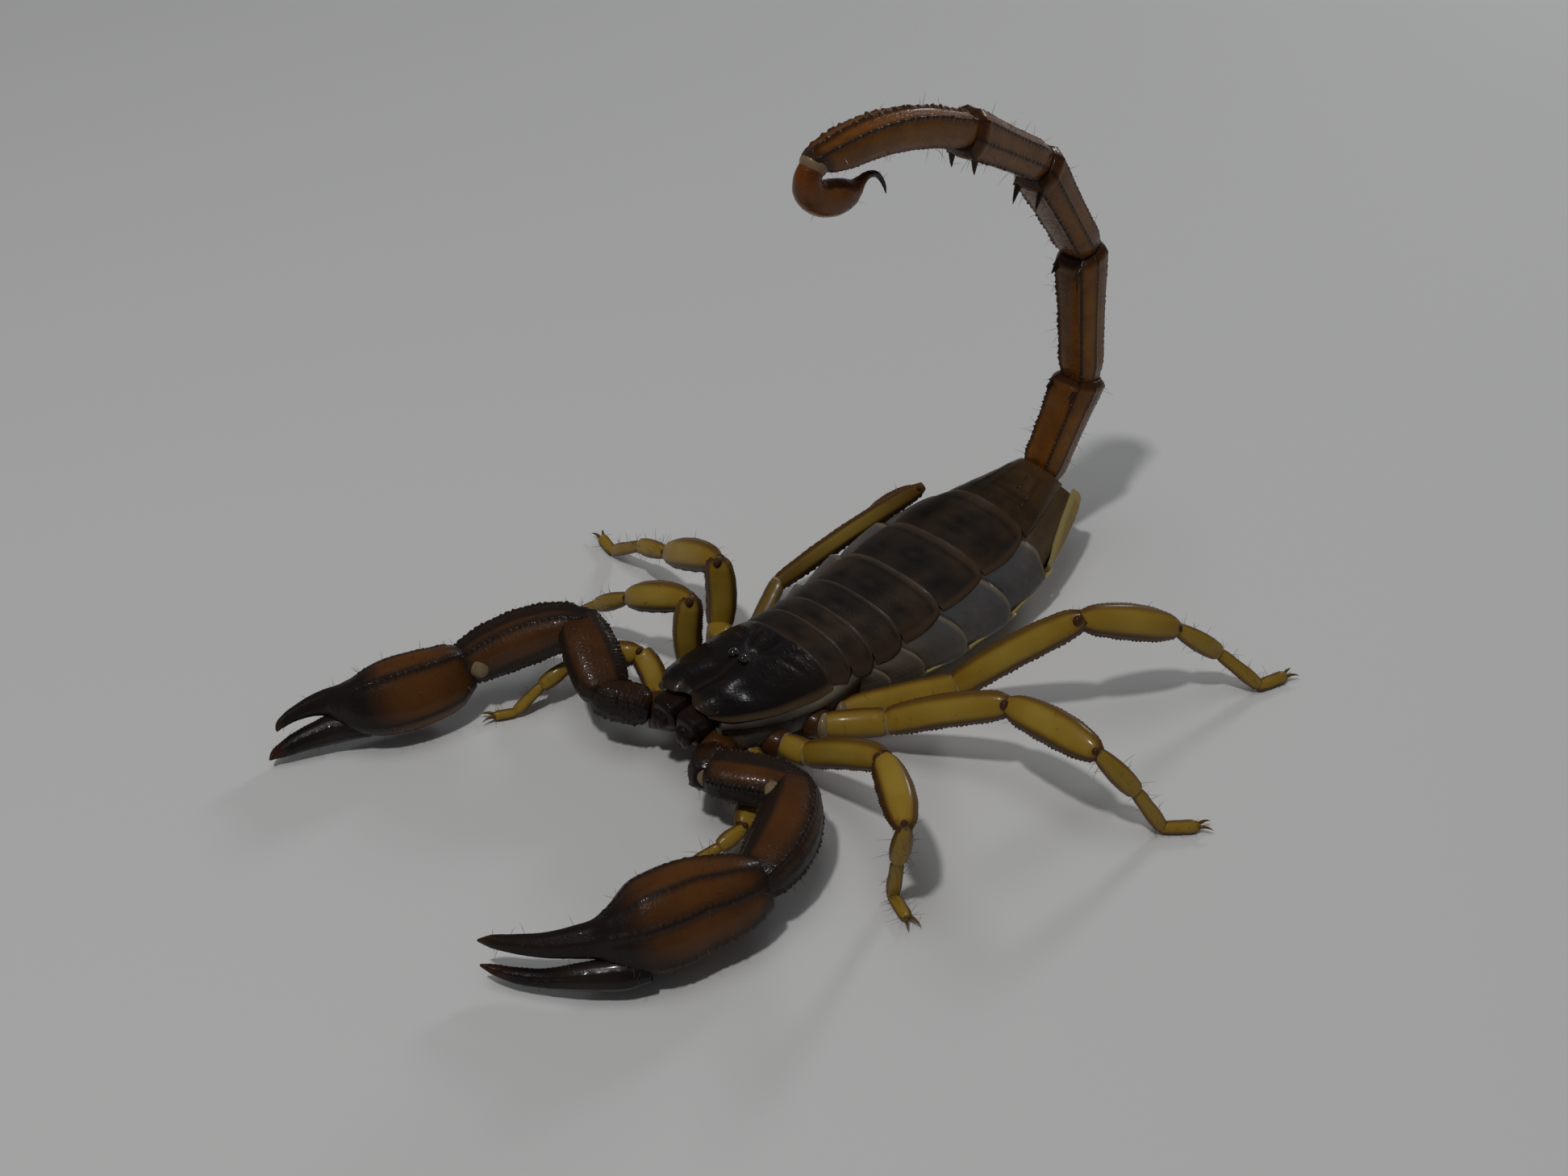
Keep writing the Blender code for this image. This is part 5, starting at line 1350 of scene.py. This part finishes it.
ARM_BASE_PROFILE = ((0.0, 1.0, 1.1), (0.2, 1.3, 1.45), (0.5, 1.5, 1.62), (0.9, 1.5, 1.6), (1.2, 1.25, 1.3),
                    (1.35, 0.8, 0.85))
UPPER_ARM_PROFILE = ((0.0, 0.6, 0.62), (0.05, 0.82, 0.84), (0.15, 0.98, 0.98), (0.35, 1.06, 1.05),
                     (0.65, 1.04, 1.04), (0.88, 0.92, 0.92), (1.02, 0.74, 0.74), (1.12, 0.55, 0.55))
FOREARM_KNOTS = (-0.1, 0.0, 0.1, 0.3, 0.6, 0.82, 0.95, 1.03)
FOREARM_SWELL = (0.5, 0.7, 0.88, 1.06, 1.1, 1.0, 0.84, 0.62)
FINGER_KEELS = ((92, 0.1, 0.12, 31, 0.15), (160, 0.07, 0.14, 9, 0.1), (325, 0.05, 0.14, 9, 0.1),
                (225, 0.05, 0.14, 9, 0.1))


class BuildPalps(bpy.types.Operator):
    """The two claw arms with black beaded ridges, hands and fingers."""

    bl_idname = "scorpion.palps"
    bl_label = "Claw arms"

    def execute(self, context):
        hosts, skins = [], []
        for label, joints in PALPS.items():
            points = [np.array(j, float) for j in joints]
            hosts += [self.arm_base(label, points), self.upper_arm(label, points),
                      self.forearm(label, points)]
            skins += self.skins(label, points)
            hosts += self.hand(label, points)
        hairs = setae("arm_setae", hosts, 420, 31, length=0.8, spread=0.5)
        keep(hairs, finish_of("seta"), "orange_brown")
        keep(join("arm_joint_skin", skins), finish_of("joint"), "membrane")
        return {"FINISHED"}

    def edges(self, label, angles, beads, stain):
        """The beaded black ridges of an arm part."""
        high = sizes().bead_height / MM * 1.1
        return [(angle, high * 1.25, 0.22, beads, (stain + 0.16) * PALP_SCALE[label]) for angle in angles]

    def sided(self, dark, face, shade):
        """Colours of an arm part: black along both edges of its broad face, and one darker side."""
        middle, half, strength = dark

        def paint(t, angle, spots, keel):
            ends = np.maximum(np.clip(1.3 - t / 0.13, 0, 1) * 0.9, grows(t, 0.84, 0.1))
            off = np.abs((np.degrees(angle) - middle + 180) % 360 - 180)
            side = strength * fades(off, half, 8)
            pale = 0.4 * hump(t, 0.5, 0.22) * (1 - side) * max(1 - 2 * shade, 0)
            return {"tone": np.maximum.reduce((ends, side, shade + 0 * t)), "rim": pale,
                    "keel": 0.95 * np.maximum(keel, 0.95 * outline(angle, 0.62, face))}

        return paint

    def arm_base(self, label, points):
        base = limb(f"arm_{label}_base", points[0], points[1], ARM_BASE_PROFILE, UP, 1, 1, columns=80,
                    rows=90, paint=self.sided((0, 0, 0), 90, 0.7), rough=0.3,
                    keels=self.edges(label, (45, 135, 225, 315), 6, 0.3))
        return keep(base, finish_of("arm"), "orange_brown", f"palp_{label}_trochanter")

    def upper_arm(self, label, points):
        angles, dark, face = ARM_SIDES[label][0]
        upper = limb(f"arm_{label}_femur", points[1], points[2], UPPER_ARM_PROFILE, UP,
                     *UPPER_ARM_HALF[label], power=2.8, columns=120, rows=150,
                     paint=self.sided(dark, face, UPPER_ARM_SHADE[label]), rough=0.1,
                     keels=self.edges(label, angles, 21, 0.42))
        return keep(upper, finish_of("arm"), "orange_brown", f"palp_{label}_femur")

    def forearm(self, label, points):
        a, b = points[2], points[3]
        outward = self.outward(label, points)
        scale = PALP_SCALE[label]
        middles = [a + (b - a) * t + outward * 0.95 * math.sin(math.pi * min(max(t, 0), 1)) ** 0.8 * scale
                   for t in FOREARM_KNOTS]
        half = np.outer(FOREARM_SWELL, (2.2 * scale, 2.0 * scale))
        angles, dark, face = ARM_SIDES[label][1]
        forearm = swept(f"arm_{label}_forearm", FOREARM_KNOTS, middles, half, UP, power=2.6, columns=120,
                        rows=160, paint=self.sided(dark, face, 0.08), rough=0.1,
                        keels=self.edges(label, angles, 23, 0.42))
        return keep(forearm, finish_of("arm"), "orange_brown", f"palp_{label}_patella")

    def outward(self, label, points):
        """The side that the forearm bulges to."""
        across = unit(np.cross(UP, unit(points[3] - points[2])))
        return across if label == "left" else -across

    def skins(self, label, points):
        """Cream skin inside the arm's joints, and the pale patch that shows on each arm."""
        made = []
        for place, radius in ((1, ARM_BASE_SKIN[label]), (2, 1.4), (3, 1.2)):
            radius = radius * PALP_SCALE[label]
            inward = unit(points[place - 1] + points[place + 1] - 2 * points[place])
            skin = bead("skin", points[place] + inward * (1.0 if place == 2 else 0.3),
                        (radius * 0.9, radius, radius), columns=32, rows=24,
                        along=points[place + 1] - points[place - 1])
            made.append(mark_all(skin, tone=0.62))
        if label == "right":
            axis = unit(points[3] - points[2])
            outward, turn = self.outward(label, points), math.radians(150)
            along, up = axis, np.cross(outward, axis) * math.cos(turn) - outward * math.sin(turn)
        else:
            along, up = (1, -0.4, 0), UP
        place, radii = ARM_PATCHES[label]
        patch = bead("skin", place, radii, along=along, up=up, columns=32, rows=24)
        return [*made, mark_all(patch, tone=0.55)]

    def hand(self, label, points):
        spec = HANDS[label]
        high = sizes().bead_height / MM
        knots, middles, tall = self.stations(spec["palm"])
        black = knots[6]

        def paint(t, angle, spots, keel):
            low = np.clip(-np.sin(angle), 0, 1)
            far = np.clip((t - black + 0.14 + 0.05 * low) / 0.12, 0, 1)
            tip = 0.4 * grows(t, 0.93, 0.05)
            face = 0.5 * hump(t, black * 0.45, 0.14)
            return {"tone": np.maximum(far, fades(t, 0.06, 0.06)) * (1 - 0.3 * tip),
                    "keel": keel * (1 - tip), "rim": np.maximum(tip, face)}

        keels = [(angle, high * share, width, beads, stain)
                 for angle, share, width, beads, stain in spec["keels"]]
        taper = np.clip((knots - black) / (1 - black), 0, 1)
        half = np.stack((tall * (HAND_THICK + 0.07 * taper), tall), axis=1)
        palm = swept(f"hand_{label}", knots, middles, half, spec["up"], columns=160, rows=300, power=2.35,
                     keels=keels, cap=0.02, paint=paint, rough=0.035, smooth_from=black + 0.05)
        keep(palm, finish_of("arm"), "orange_brown", f"palp_{label}_manus")
        knots, middles, tall = self.stations(spec["finger"])
        half = np.stack((tall * 0.85, tall), axis=1)
        finger = swept(f"finger_{label}", knots, middles, half, spec["up"], columns=72, rows=160, power=2.3,
                       cap=0.02, paint=self.finger_paint, keels=FINGER_KEELS)
        keep(finger, finish_of("finger"), "black_finger", f"palp_{label}_finger")
        return [palm, finger]

    def finger_paint(self, t, angle, spots, keel):
        return {"tone": grows(t, 0.78, 0.2) * 0.8, "keel": keel * 0.3, "rim": 0.12 * hump(t, 0.35, 0.2)}

    def stations(self, rows):
        rows = np.array(rows)
        return shares_along(rows[:, :3]), rows[:, :3], rows[:, 3]


# Stage


class BuildStage(bpy.types.Operator):
    """Pale floor, soft studio light and the camera at the photograph's angle."""

    bl_idname = "scorpion.stage"
    bl_label = "Floor, light and camera"

    def execute(self, context):
        self.floor()
        for lamp in LAMPS:
            self.lamp(*lamp)
        self.sky(context.scene)
        self.camera(context.scene)
        context.scene.view_settings.view_transform = "Standard"
        return {"FINISHED"}

    def floor(self):
        deselect()
        bpy.ops.mesh.primitive_plane_add(size=sizes().floor_size, location=(0, 0, FLOOR_HEIGHT))
        floor = bpy.context.object
        floor.name = "floor"
        paper = bpy.data.materials.new("pale_floor")
        paper.use_nodes = True
        shader = paper.node_tree.nodes["Principled BSDF"]
        shader.inputs["Base Color"].default_value = FLOOR_COLOUR
        shader.inputs["Roughness"].default_value = 0.75
        floor.data.materials.append(paper)

    def sky(self, scene):
        world = bpy.data.worlds.new("studio")
        world.use_nodes = True
        background = world.node_tree.nodes["Background"]
        background.inputs["Color"].default_value = SKY_COLOUR
        background.inputs["Strength"].default_value = SKY_STRENGTH
        scene.world = world

    def camera(self, scene):
        view = bpy.data.cameras.new("view")
        view.lens = CAMERA_LENS
        view.sensor_width = SENSOR_WIDTH
        view.sensor_fit = "HORIZONTAL"
        view.clip_start = 0.01
        view.clip_end = 10.0
        camera = bpy.data.objects.new("view", view)
        scene.collection.objects.link(camera)
        back = Vector(CAMERA_BACK).normalized()
        right = Vector(UP).cross(back).normalized()
        turn = Matrix((right, back.cross(right), back)).transposed()
        camera.matrix_world = Matrix.Translation(Vector(CAMERA_PLACE) * MM) @ turn.to_4x4()
        scene.camera = camera

    def lamp(self, name, place, diameter, power, colour):
        light = bpy.data.lights.new(name, "AREA")
        light.shape = "DISK"
        light.size = diameter
        light.energy = power
        light.color = colour
        lamp = bpy.data.objects.new(name, light)
        lamp.location = place
        lamp.rotation_euler = (Vector(LAMP_TARGET) - Vector(place)).to_track_quat("-Z", "Y").to_euler()
        # The broad ceiling lamp would put a pale sheen on every plate
        lamp.visible_glossy = name != "ceiling"
        bpy.context.scene.collection.objects.link(lamp)


OPERATORS = (BuildStage, BuildCarapace, BuildBackPlates, BuildBelly, BuildBreast, BuildChelicerae, BuildTail,
             BuildLegs, BuildPalps)


class ScorpionPanel(bpy.types.Panel):
    """Lists the scorpion's pieces and finishes."""

    bl_idname = "VIEW3D_PT_scorpion"
    bl_label = "Scorpion"
    bl_space_type = "VIEW_3D"
    bl_region_type = "UI"
    bl_category = "Scorpion"

    def draw(self, context):
        for group in (context.scene.scorpion_finish, context.scene.scorpion_sizes):
            for key in group.__annotations__:
                self.layout.prop(group, key)
        for operator in OPERATORS:
            self.layout.operator(operator.bl_idname)


CLASSES = (ScorpionFinish, ScorpionSizes, *OPERATORS, ScorpionPanel)


def register():
    for each in CLASSES:
        bpy.utils.register_class(each)
    bpy.types.Scene.scorpion_finish = bpy.props.PointerProperty(type=ScorpionFinish)
    bpy.types.Scene.scorpion_sizes = bpy.props.PointerProperty(type=ScorpionSizes)


def unregister():
    del bpy.types.Scene.scorpion_sizes
    del bpy.types.Scene.scorpion_finish
    for each in reversed(CLASSES):
        bpy.utils.unregister_class(each)


def main():
    register()
    for operator in OPERATORS:
        group, call = operator.bl_idname.split(".")
        getattr(getattr(bpy.ops, group), call)()


if __name__ == "__main__":
    main()
